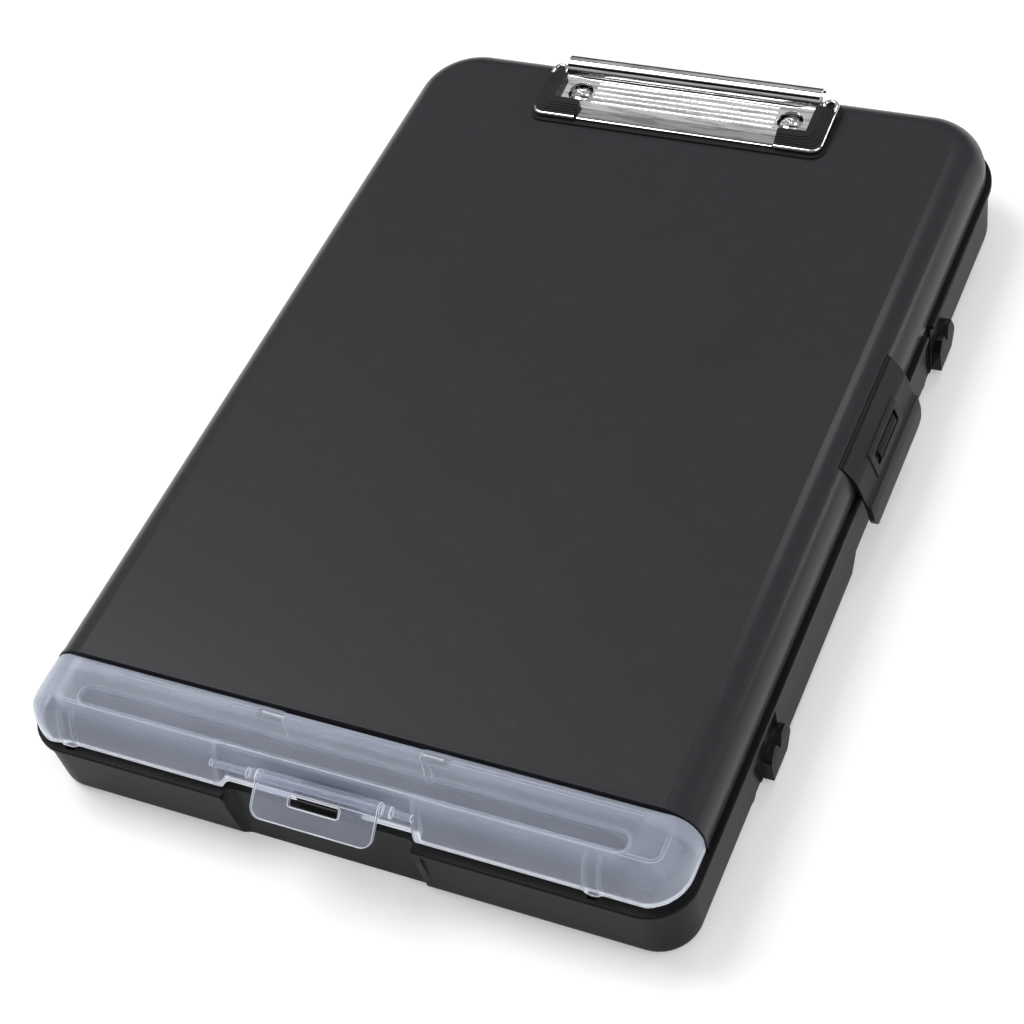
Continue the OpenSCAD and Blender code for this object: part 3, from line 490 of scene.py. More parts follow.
class Finishes:
    """All materials of the case, made once."""

    RECIPES: tuple[Finish, ...] = (
        # The case's edges are made much lighter, painting a highlight line along the rim's bead.
        MouldedPlastic(Slot.CASE, (0.0065, 0.0065, 0.007), 0.42, rub_and_highlight=0.7, ior=1.2),
        MouldedPlastic(Slot.LID, (0.0172, 0.0174, 0.0208), 0.46, grain=0.00042,
                       grain_depth=0.00006, mottle=0.1, rub_and_highlight=0.1, ior=1.28, polish=0.35),
        MouldedPlastic(Slot.LATCH, (0.007, 0.007, 0.0076), 0.4, ior=1.25),
        FrostedPlastic(Slot.FROSTED, (0.4, 0.43, 0.51), 0.32),
        Plating(Slot.CHROME, (0.8, 0.8, 0.81), 0.03),
        DrawnSteel(Slot.STEEL, (0.46, 0.46, 0.47), 0.34),
        MouldedPlastic(Slot.PAD, (0.008, 0.008, 0.008), 0.6, grain=0.0006, rub_and_highlight=0.15),
        MouldedPlastic(Slot.GRIP, (0.007, 0.007, 0.007), 0.55, edge=0.00022, grain=0.00035,
                       rub_and_highlight=0.3),
    )

    def __init__(self) -> None:
        """Builds each material."""
        self.made = {finish.slot: finish.make() for finish in self.RECIPES}

    def put(self, piece: bpy.types.Object, slot: Slot) -> None:
        """Gives a piece its material.

        Args:
            piece: The piece.
            slot: The record's slot of its finish.
        """
        piece.data.materials.clear()
        piece.data.materials.append(self.made[slot])


# ---- Mesh helpers


def linked(name: str, data: bpy.types.ID) -> bpy.types.Object:
    """Puts a mesh, a lamp or a camera in the scene.

    Args:
        name: Name of the object.
        data: What it shows.

    Returns:
        The object.
    """
    made = bpy.data.objects.new(name, data)
    bpy.context.scene.collection.objects.link(made)
    return made


def settle(piece: bpy.types.Object) -> None:
    """Gives a piece the plain mesh that its modifiers make, and removes them.

    Args:
        piece: The piece.
    """
    bpy.context.view_layer.update()
    view = bpy.context.evaluated_depsgraph_get()
    mesh = bpy.data.meshes.new_from_object(piece.evaluated_get(view))
    piece.modifiers.clear()
    piece.data = mesh


def skin(node: str) -> bpy.types.Object:
    """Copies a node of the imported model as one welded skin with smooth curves.

    Args:
        node: The node.

    Returns:
        The copy.
    """
    shell = bmesh.new()
    shell.from_mesh(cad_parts[node].data)
    bmesh.ops.remove_doubles(shell, verts=shell.verts[:], dist=WELD)
    bmesh.ops.dissolve_degenerate(shell, edges=shell.edges[:], dist=SHORT_EDGE)
    bmesh.ops.dissolve_limit(
        shell, angle_limit=FLAT, verts=shell.verts[:], edges=shell.edges[:],
    )
    mesh = bpy.data.meshes.new(node + "_skin")
    shell.to_mesh(mesh)
    shell.free()
    mesh.shade_smooth()
    mesh.set_sharp_from_angle(angle=HARD_EDGE)
    piece = linked(node + "_skin", mesh)
    even = piece.modifiers.new("even", "WEIGHTED_NORMAL")
    even.keep_sharp = True
    even.weight = FLAT_FACES_LEAD
    settle(piece)
    return piece


class Cloud:
    """The points of a fine mesh, to round and push them by rules. Sizes in millimetres."""

    def __init__(self, mesh: bpy.types.Mesh) -> None:
        """Reads a mesh.

        Args:
            mesh: The mesh.
        """
        self.mesh = mesh
        flat = np.empty(len(mesh.vertices) * 3)
        mesh.vertices.foreach_get("co", flat)
        self.at = flat.reshape(-1, 3) / MM
        ends = np.empty(len(mesh.edges) * 2, dtype=np.int64)
        mesh.edges.foreach_get("vertices", ends)
        self.ends = ends.reshape(-1, 2)

    @staticmethod
    def ramp(value: np.ndarray, low: float, high: float) -> np.ndarray:
        """Soft step from 0 at low to 1 at high, also where high is the smaller one."""
        part = np.clip((value - low) / (high - low), 0.0, 1.0)
        return part * part * (3.0 - 2.0 * part)

    @staticmethod
    def bell(value: np.ndarray, place: float, width: float) -> np.ndarray:
        """1 at a place, falling softly to 0 on both sides of it."""
        return np.exp(-((value - place) / width) ** 2)

    def smooth(self, weight: np.ndarray, rounds: int) -> None:
        """Rounds edges by moving points towards their neighbours.

        Args:
            weight: How far each point takes part, from 0 to 1.
            rounds: Number of small steps.
        """
        first, second = self.ends[:, 0], self.ends[:, 1]
        count = len(self.at)
        around = np.bincount(first, minlength=count) + np.bincount(second, minlength=count)
        share = (0.5 * weight / np.maximum(around, 1))[:, None]
        for _ in range(rounds):
            pull = np.empty_like(self.at)
            for axis in range(3):
                gap = self.at[second, axis] - self.at[first, axis]
                pull[:, axis] = np.bincount(first, gap, count) - np.bincount(second, gap, count)
            self.at += share * pull

    def keep(self, **values: np.ndarray) -> None:
        """Writes the points back, with smooth shading.

        Args:
            values: A value of each point for each named attribute.
        """
        self.mesh.vertices.foreach_set("co", (self.at * MM).ravel())
        for name, value in values.items():
            self.mesh.attributes.new(name, "FLOAT", "POINT").data.foreach_set("value", value)
        self.mesh.shade_smooth()
        self.mesh.update()


def lathe(name: str, profile: Sequence[Pair], sides: int) -> bpy.types.Mesh:
    """Turns a profile about Z into a closed mesh.

    Args:
        name: Name of the mesh.
        profile: Points (radius, height) from the top pole to the bottom pole.
        sides: Number of sides.

    Returns:
        The mesh.
    """
    shape = bmesh.new()
    points = [shape.verts.new((r, 0.0, z)) for r, z in profile]
    edges = [shape.edges.new(pair) for pair in zip(points, points[1:])]
    bmesh.ops.spin(
        shape, geom=points + edges, cent=(0, 0, 0), axis=(0, 0, 1),
        angle=math.tau, steps=sides, use_merge=True,
    )
    bmesh.ops.remove_doubles(shape, verts=shape.verts[:], dist=POLE)
    bmesh.ops.recalc_face_normals(shape, faces=shape.faces[:])
    mesh = bpy.data.meshes.new(name)
    shape.to_mesh(mesh)
    shape.free()
    mesh.shade_smooth()
    mesh.set_sharp_from_angle(angle=HARD_RIVET_EDGE)
    return mesh


def polyline(name: str, lines: Sequence[Sequence[Vector]]) -> bpy.types.Mesh:
    """Makes a mesh of edges along open lines.

    Args:
        name: Name of the mesh.
        lines: The points of each line.

    Returns:
        The mesh.
    """
    verts: list[Vector] = []
    edges: list[tuple[int, int]] = []
    for line in lines:
        first = len(verts)
        verts.extend(line)
        edges.extend((first + i, first + i + 1) for i in range(len(line) - 1))
    mesh = bpy.data.meshes.new(name)
    mesh.from_pydata([tuple(v) for v in verts], edges, [])
    return mesh


def arc(centre: Pair, radius: float, start: float, end: float, steps: int) -> list[Pair]:
    """Points of an arc in a plane.

    Args:
        centre: Its centre.
        radius: Its radius.
        start: First angle in degrees.
        end: Last angle in degrees.
        steps: Number of steps.

    Returns:
        The points.
    """
    angles = [math.radians(start + (end - start) * i / steps) for i in range(steps + 1)]
    return [(centre[0] + radius * math.cos(a), centre[1] + radius * math.sin(a)) for a in angles]


def row_recipe() -> Recipe:
    """Recipe that sets copies of one piece in a row.

    Returns:
        The recipe, with the inputs Piece, Count, Start, Step and Finish.
    """
    recipe = Recipe("row_of_pieces", {
        "Piece": ("NodeSocketObject", None),
        "Count": ("NodeSocketInt", 2),
        "Start": ("NodeSocketVector", (0.0, 0.0, 0.0)),
        "Step": ("NodeSocketVector", (0.01, 0.0, 0.0)),
        "Finish": ("NodeSocketMaterial", None),
    })
    places = recipe.node(
        "GeometryNodeMeshLine", {"mode": "OFFSET"},
        {"Count": recipe.named("Count"), "Start Location": recipe.named("Start"),
         "Offset": recipe.named("Step")},
    )
    piece = recipe.node("GeometryNodeObjectInfo", None, {"Object": recipe.named("Piece")},
                        out="Geometry")
    recipe.result(recipe.node("GeometryNodeInstanceOnPoints", None,
                              {"Points": places, "Instance": piece}))
    return recipe


def wire_recipe() -> Recipe:
    """Recipe that bends round wire along the edges of the seed mesh.

    Returns:
        The recipe, with the inputs Diameter, Sides and Finish.
    """
    recipe = Recipe("bent_wire", {
        "Diameter": ("NodeSocketFloat", 0.001),
        "Sides": ("NodeSocketInt", 16),
        "Finish": ("NodeSocketMaterial", None),
    })
    path = recipe.node("GeometryNodeMeshToCurve", None,
                       {"Mesh": Sock(recipe, recipe.entry.outputs["Geometry"])})
    ring = recipe.node(
        "GeometryNodeCurvePrimitiveCircle", {"mode": "RADIUS"},
        {"Resolution": recipe.named("Sides"), "Radius": recipe.named("Diameter") * 0.5},
    )
    tube = recipe.node("GeometryNodeCurveToMesh", None,
                       {"Curve": path, "Profile Curve": ring, "Fill Caps": True})
    recipe.result(recipe.node("GeometryNodeSetShadeSmooth", None,
                              {"Geometry": tube, "Shade Smooth": True}))
    return recipe


# ---- Sub-assemblies


@dataclass(kw_only=True)
class SubAssembly:
    """A group of pieces that are built and dressed together.

    Its skins are the node, the body and the finish of each piece that starts as a skin.
    """

    skins: ClassVar[tuple[tuple[str, str, Slot], ...]] = ()

    finishes: Finishes
    pieces: list[bpy.types.Object] = field(default_factory=list)

    def stand_in(self, piece: bpy.types.Object, node: str, body: str, slot: Slot) -> None:
        """Puts a finished piece in place of a node.

        Args:
            piece: The piece.
            node: The node that it stands for.
            body: The body that it rides on.
            slot: Its finish.
        """
        self.finishes.put(piece, slot)
        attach(piece, body)
        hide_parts(node)
        self.pieces.append(piece)

    def shape(self, piece: bpy.types.Object, node: str) -> None:
        """Changes the skin of a node before it is dressed, where a group needs that."""

    def build(self) -> None:
        """Covers the nodes with their skins."""
        for node, body, slot in self.skins:
            piece = skin(node)
            self.shape(piece, node)
            self.stand_in(piece, node, body, slot)

    def report(self) -> None:
        """Logs each piece with its number of faces."""
        for piece in self.pieces:
            LOG.info("%s: %s, %d faces", type(self).__name__, piece.name, len(piece.data.polygons))


@dataclass(kw_only=True)
class CaseBase(SubAssembly):
    """The deep base with its lugs, catches and hinge pins."""

    skins = (("base_shell", "base", Slot.CASE), ("lid_hinge_pins", "base", Slot.STEEL))


@dataclass(kw_only=True)
class WritingLid(SubAssembly):
    """The lid with its writing board and the pin of the latch."""

    skins = (("lid_board", "lid", Slot.LID), ("side_latch_pin", "lid", Slot.STEEL))


@dataclass(kw_only=True)
class SideLatch(SubAssembly):
    """The latch that snaps over the rim."""

    skins = (("side_latch", "side_latch", Slot.LATCH),)


@dataclass(frozen=True)
class HingeCover:
    """The part of the door's top that runs over the hinge block, and the room it swings in.

    Sizes are in millimetres, and turns in degrees up from the back.
    """

    axis: Pair = (-151.4, 42.6)
    barrel_r: float = 2.36
    inner_r: float = 1.6
    half: float = 25.8
    back: float = 52.0
    front: float = 160.5
    outer_steps: int = 8
    inner_steps: int = 16
    length: float = 3.8
    outer_z: float = 44.98
    inner_z: float = 43.1
    block_r: float = 1.4
    block_reach: float = 2.7
    block_low: float = 41.1
    sweep_turn: Pair = (-58.0, 95.0)
    sweep_y: Pair = (-151.8, -147.0)
    sweep_z: Pair = (39.85, 48.0)

    def add_bar(self, mesh: bpy.types.Mesh, profile: Sequence[Pair]) -> None:
        """Adds a closed bar that runs along the hinge.

        Args:
            mesh: The mesh that takes the bar.
            profile: Its section, as places along the case and heights.
        """
        shape = bmesh.new()
        shape.from_mesh(mesh)
        left, right = ([shape.verts.new((x * MM, y * MM, z * MM)) for y, z in profile]
                       for x in (-self.half, self.half))
        faces = [shape.faces.new(left), shape.faces.new(right)]
        for i in range(len(profile)):
            faces.append(shape.faces.new((left[i - 1], right[i - 1], right[i], left[i])))
        bmesh.ops.recalc_face_normals(shape, faces=faces)
        shape.to_mesh(mesh)
        shape.free()

    def close_top(self, door: bpy.types.Mesh) -> None:
        """Runs the door's top on over the hinge block.

        Args:
            door: The door's mesh.
        """
        end = self.axis[0] - self.length
        self.add_bar(door, [
            *arc(self.axis, self.barrel_r, self.back, 90, self.outer_steps),
            (end, self.outer_z), (end, self.inner_z),
            *arc(self.axis, self.inner_r, self.front, self.back, self.inner_steps),
        ])

    def clear_block(self, tray: bpy.types.Object) -> None:
        """Slims the tray's hinge block and cuts its back away, where the cover swings.

        Args:
            tray: The tray.
        """
        for vert in tray.data.vertices:
            x, y, z = vert.co / MM
            reach = math.hypot(y - self.axis[0], z - self.axis[1])
            if (abs(x) < self.half and self.block_r < reach < self.block_reach
                    and z > self.block_low):
                share = self.block_r / reach
                vert.co.y = (self.axis[0] + (y - self.axis[0]) * share) * MM
                vert.co.z = (self.axis[1] + (z - self.axis[1]) * share) * MM
        (front, back), (low, high) = self.sweep_y, self.sweep_z
        blank = bpy.data.meshes.new("cover_sweep")
        self.add_bar(blank, [*arc(self.axis, self.block_r, *self.sweep_turn, self.inner_steps),
                             (front, high), (back, high), (back, low)])
        cutter = linked("cover_sweep", blank)
        cut = tray.modifiers.new("cut", "BOOLEAN")
        cut.operation, cut.solver, cut.object = "DIFFERENCE", "EXACT", cutter
        settle(tray)
        bpy.data.objects.remove(cutter)


@dataclass(frozen=True)
class DoorMould:
    """What the mould gives the door beyond its plain shape.

    Sizes are in millimetres. A field ending in fade is a soft step, from where it starts to
    where it is full. One ending in band holds a place and a width.
    """

    voxel: float = 0.5
    crease_rounds: int = 90
    all_rounds: int = 6
    recess_left_fade: Pair = (-47.0, -50.0)
    recess_right_fade: Pair = (35.0, 38.0)
    crease_y_fade: Pair = (-159.5, -163.5)
    crease_z_fade: Pair = (37.0, 40.0)
    corner_x_fade: Pair = (95.0, 101.0)
    corner_y_fade: Pair = (-153.0, -159.0)
    corner_z_fade: Pair = (29.6, 33.6)
    channel_x: Pair = (-93.0, 96.5)
    channel_y: float = -163.2
    channel_fade: Pair = (4.0, 2.6)
    channel_depth: float = 0.7
    channel_z_fade: Pair = (43.6, 44.1)
    lip_band: Pair = (4.0, 0.55)
    lip_height: float = 0.12
    flare: float = 1.5
    flare_centre: Pair = (-103.0, -159.0)
    flare_x_fade: Pair = (-99.0, -111.0)
    flare_y_fade: Pair = (-145.0, -159.0)
    flare_z_fade: Pair = (43.0, 30.6)
    tiny: float = 1e-6

    def from_channel(self, cloud: Cloud) -> np.ndarray:
        """How far each point lies from the channel's middle line, seen from above.

        Args:
            cloud: The door's points.

        Returns:
            The distances.
        """
        x, y, _ = cloud.at.T
        left, right = self.channel_x
        across = np.maximum(np.maximum(left - x, x - right), 0.0)
        return np.hypot(across, y - self.channel_y)

    def round_creases(self, cloud: Cloud) -> None:
        """Rounds the crease along the front and the two front corners.

        Args:
            cloud: The door's points.
        """
        x, y, z = cloud.at.T.copy()
        ramp = cloud.ramp
        aside = np.maximum(ramp(x, *self.recess_left_fade), ramp(x, *self.recess_right_fade))
        crease = aside * ramp(y, *self.crease_y_fade) * ramp(z, *self.crease_z_fade)
        corner = (ramp(np.abs(x), *self.corner_x_fade) * ramp(y, *self.corner_y_fade)
                  * ramp(z, *self.corner_z_fade))
        cloud.smooth(np.maximum(crease, corner), self.crease_rounds)
        cloud.smooth(np.ones(len(x)), self.all_rounds)

    def sink_channel(self, cloud: Cloud) -> None:
        """Sinks the long channel with round ends and a lip into the door's top.

        Args:
            cloud: The door's points.
        """
        reach = self.from_channel(cloud)
        inside = cloud.ramp(reach, *self.channel_fade)
        outer = cloud.ramp(cloud.at[:, 2], *self.channel_z_fade)
        lip = cloud.bell(reach, *self.lip_band)
        cloud.at[:, 2] -= inside * outer * self.channel_depth
        cloud.at[:, 2] -= (1.0 - lip) * outer * self.lip_height

    def flare_corner(self, cloud: Cloud) -> None:
        """Widens the skirt of the left front corner, which laps over the rim.

        Args:
            cloud: The door's points.
        """
        x, y, z = cloud.at.T
        away = cloud.at[:, :2] - np.array(self.flare_centre)
        reach = np.maximum(np.linalg.norm(away, axis=1), self.tiny)
        push = (cloud.ramp(x, *self.flare_x_fade) * cloud.ramp(y, *self.flare_y_fade)
                * cloud.ramp(z, *self.flare_z_fade) * self.flare)
        cloud.at[:, :2] += away / reach[:, None] * push[:, None]


@dataclass(frozen=True)
class DoorMilk:
    """Where the door is milkier: a share and a place for each feature, in millimetres.

    A field ending in fade is a soft step. One ending in band holds a place and a width. The
    fields of the channel's line and of the bends place painted highlight lines, and cut_glow_band
    a painted glow.
    """

    line: float = 0.6
    line_band: Pair = (3.9, 0.45)
    line_fade: Pair = (41.0, 43.0)
    thin: float = 0.18
    thin_fade: Pair = (3.5, 1.9)
    bend_highlight: float = 0.45
    bend_start: Pair = (-99.0, -162.5)
    bend_band: Pair = (5.6, 1.5)
    bend_x_fade: Pair = (103.0, 97.0)
    bend_z_fade: Pair = (36.0, 42.0)
    bow_centre: Pair = (-145.97, 27.05)
    bow_r: float = 28.03
    bow_band: Pair = (0.4, 1.1)
    edge_centre: Pair = (104.8, 32.0)
    edge_r: float = 13.0
    edge_band: Pair = (-0.4, 0.9)
    edge_x_fade: Pair = (102.8, 105.8)
    walls: float = 0.6
    walls_x: Pair = (-42.0, 29.6)
    walls_width: float = 1.2
    walls_fade: Pair = (-164.0, -168.0)
    ribs: float = 0.5
    ribs_x: Pair = (-100.5, 90.0)
    ribs_band: Pair = (2.4, 0.6)
    ribs_y_fade: Pair = (-160.0, -166.0)
    ribs_z_fade: Pair = (43.5, 41.0)
    hinge: float = 0.3
    hinge_fade: Pair = (-156.0, -154.0)
    ends: float = 0.25
    ends_fade: Pair = (99.0, 104.0)
    # The door's lower edge, which gets a painted glow.
    cut_glow_band: Pair = (27.95, 0.6)

    def right_bend_highlight(self, x: np.ndarray, y: np.ndarray, z: np.ndarray) -> np.ndarray:
        """The painted highlight band that runs down from the crease over the right front corner.

        Args:
            x: Places sideways.
            y: Places along the case.
            z: Heights.

        Returns:
            How near each point is to that band, from 0 to 1.
        """
        rise = self.bow_r ** 2 - (z - self.bow_centre[1]) ** 2
        bow = self.bow_centre[0] - np.sqrt(np.maximum(rise, 0.0))
        gap = np.hypot(x - self.edge_centre[0], z - self.edge_centre[1]) - self.edge_r
        near = Cloud.bell(y - bow, *self.bow_band) * Cloud.bell(gap, *self.edge_band)
        return near * Cloud.ramp(x, *self.edge_x_fade)

    def pale(self, cloud: Cloud, reach: np.ndarray) -> np.ndarray:
        """How milky the door is, most at its ends, with painted highlight lines on its bends and
        channel lip.

        Args:
            cloud: The door's points.
            reach: Their distances from the middle line of the channel.

        Returns:
            The value of each point, below 0 where the wall is thin.
        """
        x, y, z = cloud.at.T
        ramp, bell = cloud.ramp, cloud.bell
        top = ramp(z, *self.line_fade)
        # Painted highlight line along the lip of the channel.
        line = bell(reach, *self.line_band) * top
        thin = ramp(reach, *self.thin_fade) * top
        # Painted highlight bands along the bends of the crease and over the right front corner.
        middle = np.hypot(np.minimum(x - self.bend_start[0], 0.0),
                          np.minimum(y - self.bend_start[1], 0.0))
        bend_highlight = (bell(middle, *self.bend_band) * ramp(z, *self.bend_z_fade)
                * ramp(x, *self.bend_x_fade))
        bend_highlight = np.maximum(bend_highlight, self.right_bend_highlight(x, y, z))
        walls = sum(bell(x, place, self.walls_width) for place in self.walls_x)
        ribs = sum(bell(np.abs(x - place), *self.ribs_band) for place in self.ribs_x)
        milk = (self.line * line + self.bend_highlight * bend_highlight
                + self.walls * walls * ramp(y, *self.walls_fade)
                + self.ribs * ribs * ramp(z, *self.ribs_z_fade) * ramp(y, *self.ribs_y_fade)
                + self.hinge * ramp(y, *self.hinge_fade)
                + self.ends * ramp(np.abs(x), *self.ends_fade) - self.thin * thin)
        return np.clip(milk, -1.0, 1.0)


@dataclass(kw_only=True)
class PenCompartment(SubAssembly):
    """The frosted tray, door and tab with their pins."""

    skins = (
        ("pen_tray", "base", Slot.FROSTED),
        ("pen_door_hinge_pin", "base", Slot.STEEL),
        ("pen_door", "pen_door", Slot.FROSTED),
        ("pen_tab_pin", "pen_door", Slot.FROSTED),
        ("pen_tab", "pen_tab", Slot.FROSTED),
    )

    hinge: HingeCover = field(default_factory=HingeCover)
    mould: DoorMould = field(default_factory=DoorMould)
    milk: DoorMilk = field(default_factory=DoorMilk)

    def mould_door(self, piece: bpy.types.Object) -> None:
        """Gives the door soft creases, as it comes out of its mould.

        Args:
            piece: The door.
        """
        self.hinge.close_top(piece.data)
        grid = piece.modifiers.new("grid", "REMESH")
        grid.mode, grid.voxel_size, grid.adaptivity = "VOXEL", self.mould.voxel * MM, 0.0
        settle(piece)
        cloud = Cloud(piece.data)
        self.mould.round_creases(cloud)
        self.mould.sink_channel(cloud)
        self.mould.flare_corner(cloud)
        # The points carry the milk with its painted highlight lines, and the painted glow of the
        # lower edge.
        cloud.keep(pale=self.milk.pale(cloud, self.mould.from_channel(cloud)),
                   cut=cloud.bell(cloud.at[:, 2], *self.milk.cut_glow_band))

    def shape(self, piece: bpy.types.Object, node: str) -> None:
        """Moulds the door and keeps the tray's hinge block clear of its cover.

        Args:
            piece: The skin of the node.
            node: The node.
        """
        if node == "pen_tray":
            self.hinge.clear_block(piece)
        elif node == "pen_door":
            self.mould_door(piece)


@dataclass(frozen=True)
class ClipPlane:
    """The tilted plane that the jaw, its wire and its grips share, in millimetres."""

    pivot_y: float = 163.0
    pivot_z: float = 49.5
    tilt: float = 5.4

    def place(self, x: float, y: float, z: float = 0.0, tilted: bool = True) -> Vector:
        """A point given from the pivot.

        Args:
            x: Sideways.
            y: Back.
            z: Up from the plane.
            tilted: Whether the point lies in the jaw's plane.

        Returns:
            The point in metres.
        """
        angle = math.radians(self.tilt) if tilted else 0.0
        turned = Matrix.Rotation(angle, 3, "X") @ Vector((x, y, z))
        return (turned + Vector((0.0, self.pivot_y, self.pivot_z))) * MM


@dataclass(kw_only=True)
class SpringClip(SubAssembly):
    """What is fixed to the lid: pad, plate, rivets, rod and springs. Sizes in millimetres."""

    skins = (
        ("clip_pad", "lid", Slot.PAD),
        ("clip_base_plate", "lid", Slot.CHROME),
        ("clip_rivet_washers", "lid", Slot.STEEL),
        ("clip_pivot_rod", "lid", Slot.STEEL),
    )

    wires: Recipe
    rows: Recipe
    plane: ClipPlane = field(default_factory=ClipPlane)
    rivet_pitch: float = 87.0
    rivet_y: float = 150.0
    head_d: float = 8.4
    head_h: float = 1.9
    seat_z: float = 46.6
    shank_d: float = 3.2
    tail_d: float = 5.4
    tail_z: float = 42.0
    tail_h: float = 1.0
    tail_chamfer: Pair = (0.4, 0.3)
    head_rim: float = 0.35
    head_undercut: float = 0.1
    dome_turns: range = range(68, -1, -8)
    dimple: tuple[Pair, ...] = ((0.0, 0.95), (0.55, 0.93), (0.85, 0.7), (1.0, 0.35), (1.25, 0.12))
    spring_x: float = 10.0
    spring_r: float = 1.9
    spring_wire: float = 0.8
    spring_pitch: float = 1.6
    spring_turns: int = 8
    spring_steps: int = 20
    spring_legs: tuple[Pair, ...] = ((-8.0, -0.45), (-4.0, -0.2))
    spring_end: Triple = (0.16, -2.6, 0.25)
    rivet_sides: int = 36
    wire_sides: int = 10

    def rivet_profile(self) -> list[Pair]:
        """Profile of a rivet from the dimple in its domed head to the set tail.

        Returns:
            Points (radius, height) in metres.
        """
        r, rim, shank = self.head_d / 2, self.head_rim, self.shank_d / 2
        seat, crown = self.seat_z, self.seat_z + self.head_h
        tail, top, end = self.tail_d / 2, self.tail_z, self.tail_z - self.tail_h
        inward, up = self.tail_chamfer
        dome = [(r * math.cos(a), seat + rim + (self.head_h - rim) * math.sin(a))
                for a in map(math.radians, self.dome_turns)]
        points = [*((x, crown - down) for x, down in self.dimple), *dome,
                  (r - self.head_undercut, seat), (shank, seat), (shank, top), (tail, top),
                  (tail, end + up), (tail - inward, end), (0.0, end)]
        return [(x * MM, y * MM) for x, y in points]

    def rivets(self) -> None:
        """Sets the two rivets in a row."""
        one = linked("rivet_pattern", lathe("rivet", self.rivet_profile(), self.rivet_sides))
        row = self.rows.grow("clip_rivet_row", bpy.data.meshes.new("rivet_seed"), {
            "Piece": one, "Count": 2,
            "Start": (-self.rivet_pitch / 2 * MM, self.rivet_y * MM, 0.0),
            "Step": (self.rivet_pitch * MM, 0.0, 0.0),
            "Finish": self.finishes.made[Slot.CHROME],
        })
        bpy.data.objects.remove(one)
        self.stand_in(row, "clip_rivets", "lid", Slot.CHROME)

    def spring_line(self, side: int) -> list[Vector]:
        """Path of one torsion spring.

        Args:
            side: 1 for the right spring, -1 for the left one.

        Returns:
            Its points.
        """
        steps, r = self.spring_steps, self.spring_r
        points = [(self.spring_x, y, z - r) for y, z in self.spring_legs]
        for i in range(self.spring_turns * steps + 1):
            a = math.tau * i / steps
            points.append((self.spring_x + self.spring_pitch * i / steps,
                           -r * math.sin(a), -r * math.cos(a)))
        x, y, z = self.spring_end
        points.append((self.spring_x + self.spring_pitch * self.spring_turns + x, y, z - r))
        return [self.plane.place(side * x, y, z, tilted=False) for x, y, z in points]

    def springs(self) -> None:
        """Winds the two torsion springs."""
        seed = polyline("spring_lines", [self.spring_line(-1), self.spring_line(1)])
        pair = self.wires.grow("clip_spring_pair", seed, {
            "Diameter": self.spring_wire * MM, "Sides": self.wire_sides,
            "Finish": self.finishes.made[Slot.STEEL],
        })
        self.stand_in(pair, "clip_torsion_springs", "lid", Slot.STEEL)

    def build(self) -> None:
        """Builds the fixed half of the clip."""
        super().build()
        self.rivets()
        self.springs()


@dataclass(kw_only=True)
class ClipJaw(SubAssembly):
    """The sprung half of the clip: plate, wire and corner grips. Sizes in millimetres."""

    skins = (
        ("clip_jaw", "clip_jaw", Slot.CHROME),
        ("clip_grip_left", "clip_jaw", Slot.GRIP),
        ("clip_grip_right", "clip_jaw", Slot.GRIP),
    )

    wires: Recipe
    plane: ClipPlane = field(default_factory=ClipPlane)
    wire_d: float = 1.8
    wire_in: float = 53.6
    turn_r: float = 2.6
    wire_front: float = 26.1
    wire_back: float = -2.9
    wire_end: float = 41.2
    leg_end: float = -11.0
    corner_r: float = 3.5
    turn_steps: int = 18
    corner_steps: int = 12
    wire_sides: int = 20

    def wire_line(self, side: int) -> list[Vector]:
        """Path of the wire at one end of the jaw.

        Args:
            side: 1 for the right end, -1 for the left one.

        Returns:
            Its points.
        """
        out = self.wire_in + 2 * self.turn_r
        points = [(self.wire_in, self.leg_end)]
        points += arc((self.wire_in + self.turn_r, self.wire_back), self.turn_r, 180, 0,
                      self.turn_steps)
        points += arc((out - self.corner_r, -self.wire_front + self.corner_r),
                      self.corner_r, 0, -90, self.corner_steps)
        points.append((self.wire_end, -self.wire_front))
        return [self.plane.place(side * x, y) for x, y in points]

    def wire(self) -> None:
        """Bends the wire of both ends."""
        seed = polyline("wire_lines", [self.wire_line(-1), self.wire_line(1)])
        pair = self.wires.grow("clip_wire_pair", seed, {
            "Diameter": self.wire_d * MM, "Sides": self.wire_sides,
            "Finish": self.finishes.made[Slot.CHROME],
        })
        self.stand_in(pair, "clip_wire_bail", "clip_jaw", Slot.CHROME)

    def build(self) -> None:
        """Builds the moving half of the clip."""
        super().build()
        self.wire()


# ---- Studio


@dataclass(frozen=True)
class SoftLamp:
    """A square area lamp that points at the case."""

    name: str
    place: Triple
    size: float
    power: float

    def put(self) -> None:
        """Adds the lamp to the scene."""
        light = bpy.data.lights.new(self.name, "AREA")
        light.size = self.size
        light.energy = self.power
        lamp = linked(self.name, light)
        lamp.location = self.place
        lamp.rotation_mode = "QUATERNION"
        lamp.rotation_quaternion = (-Vector(self.place)).to_track_quat("-Z", "Y")


@dataclass(frozen=True)
class PhotoCamera:
    """The camera of the photograph, in metres."""

    place: Triple = (0.30774, -0.46625, 0.62084)
    turn: Triple = (2.4252, 0.4210, -0.4009)
    lens: float = 79.77
    sensor: float = 36.0
    clip: Pair = (0.01, 50.0)

    def put(self) -> None:
        """Adds the camera and makes it the scene's own."""
        data = bpy.data.cameras.new("photo_camera")
        data.lens = self.lens
        data.sensor_width = self.sensor
        data.clip_start, data.clip_end = self.clip
        camera = linked("photo_camera", data)
        turn = Vector(self.turn)
        rows = Matrix.Rotation(turn.length, 3, turn.normalized())
        camera.rotation_mode = "QUATERNION"
        camera.rotation_quaternion = (
            rows.transposed() @ Matrix.Diagonal((1.0, -1.0, -1.0))
        ).to_quaternion()
        camera.location = self.place
        bpy.context.scene.camera = camera


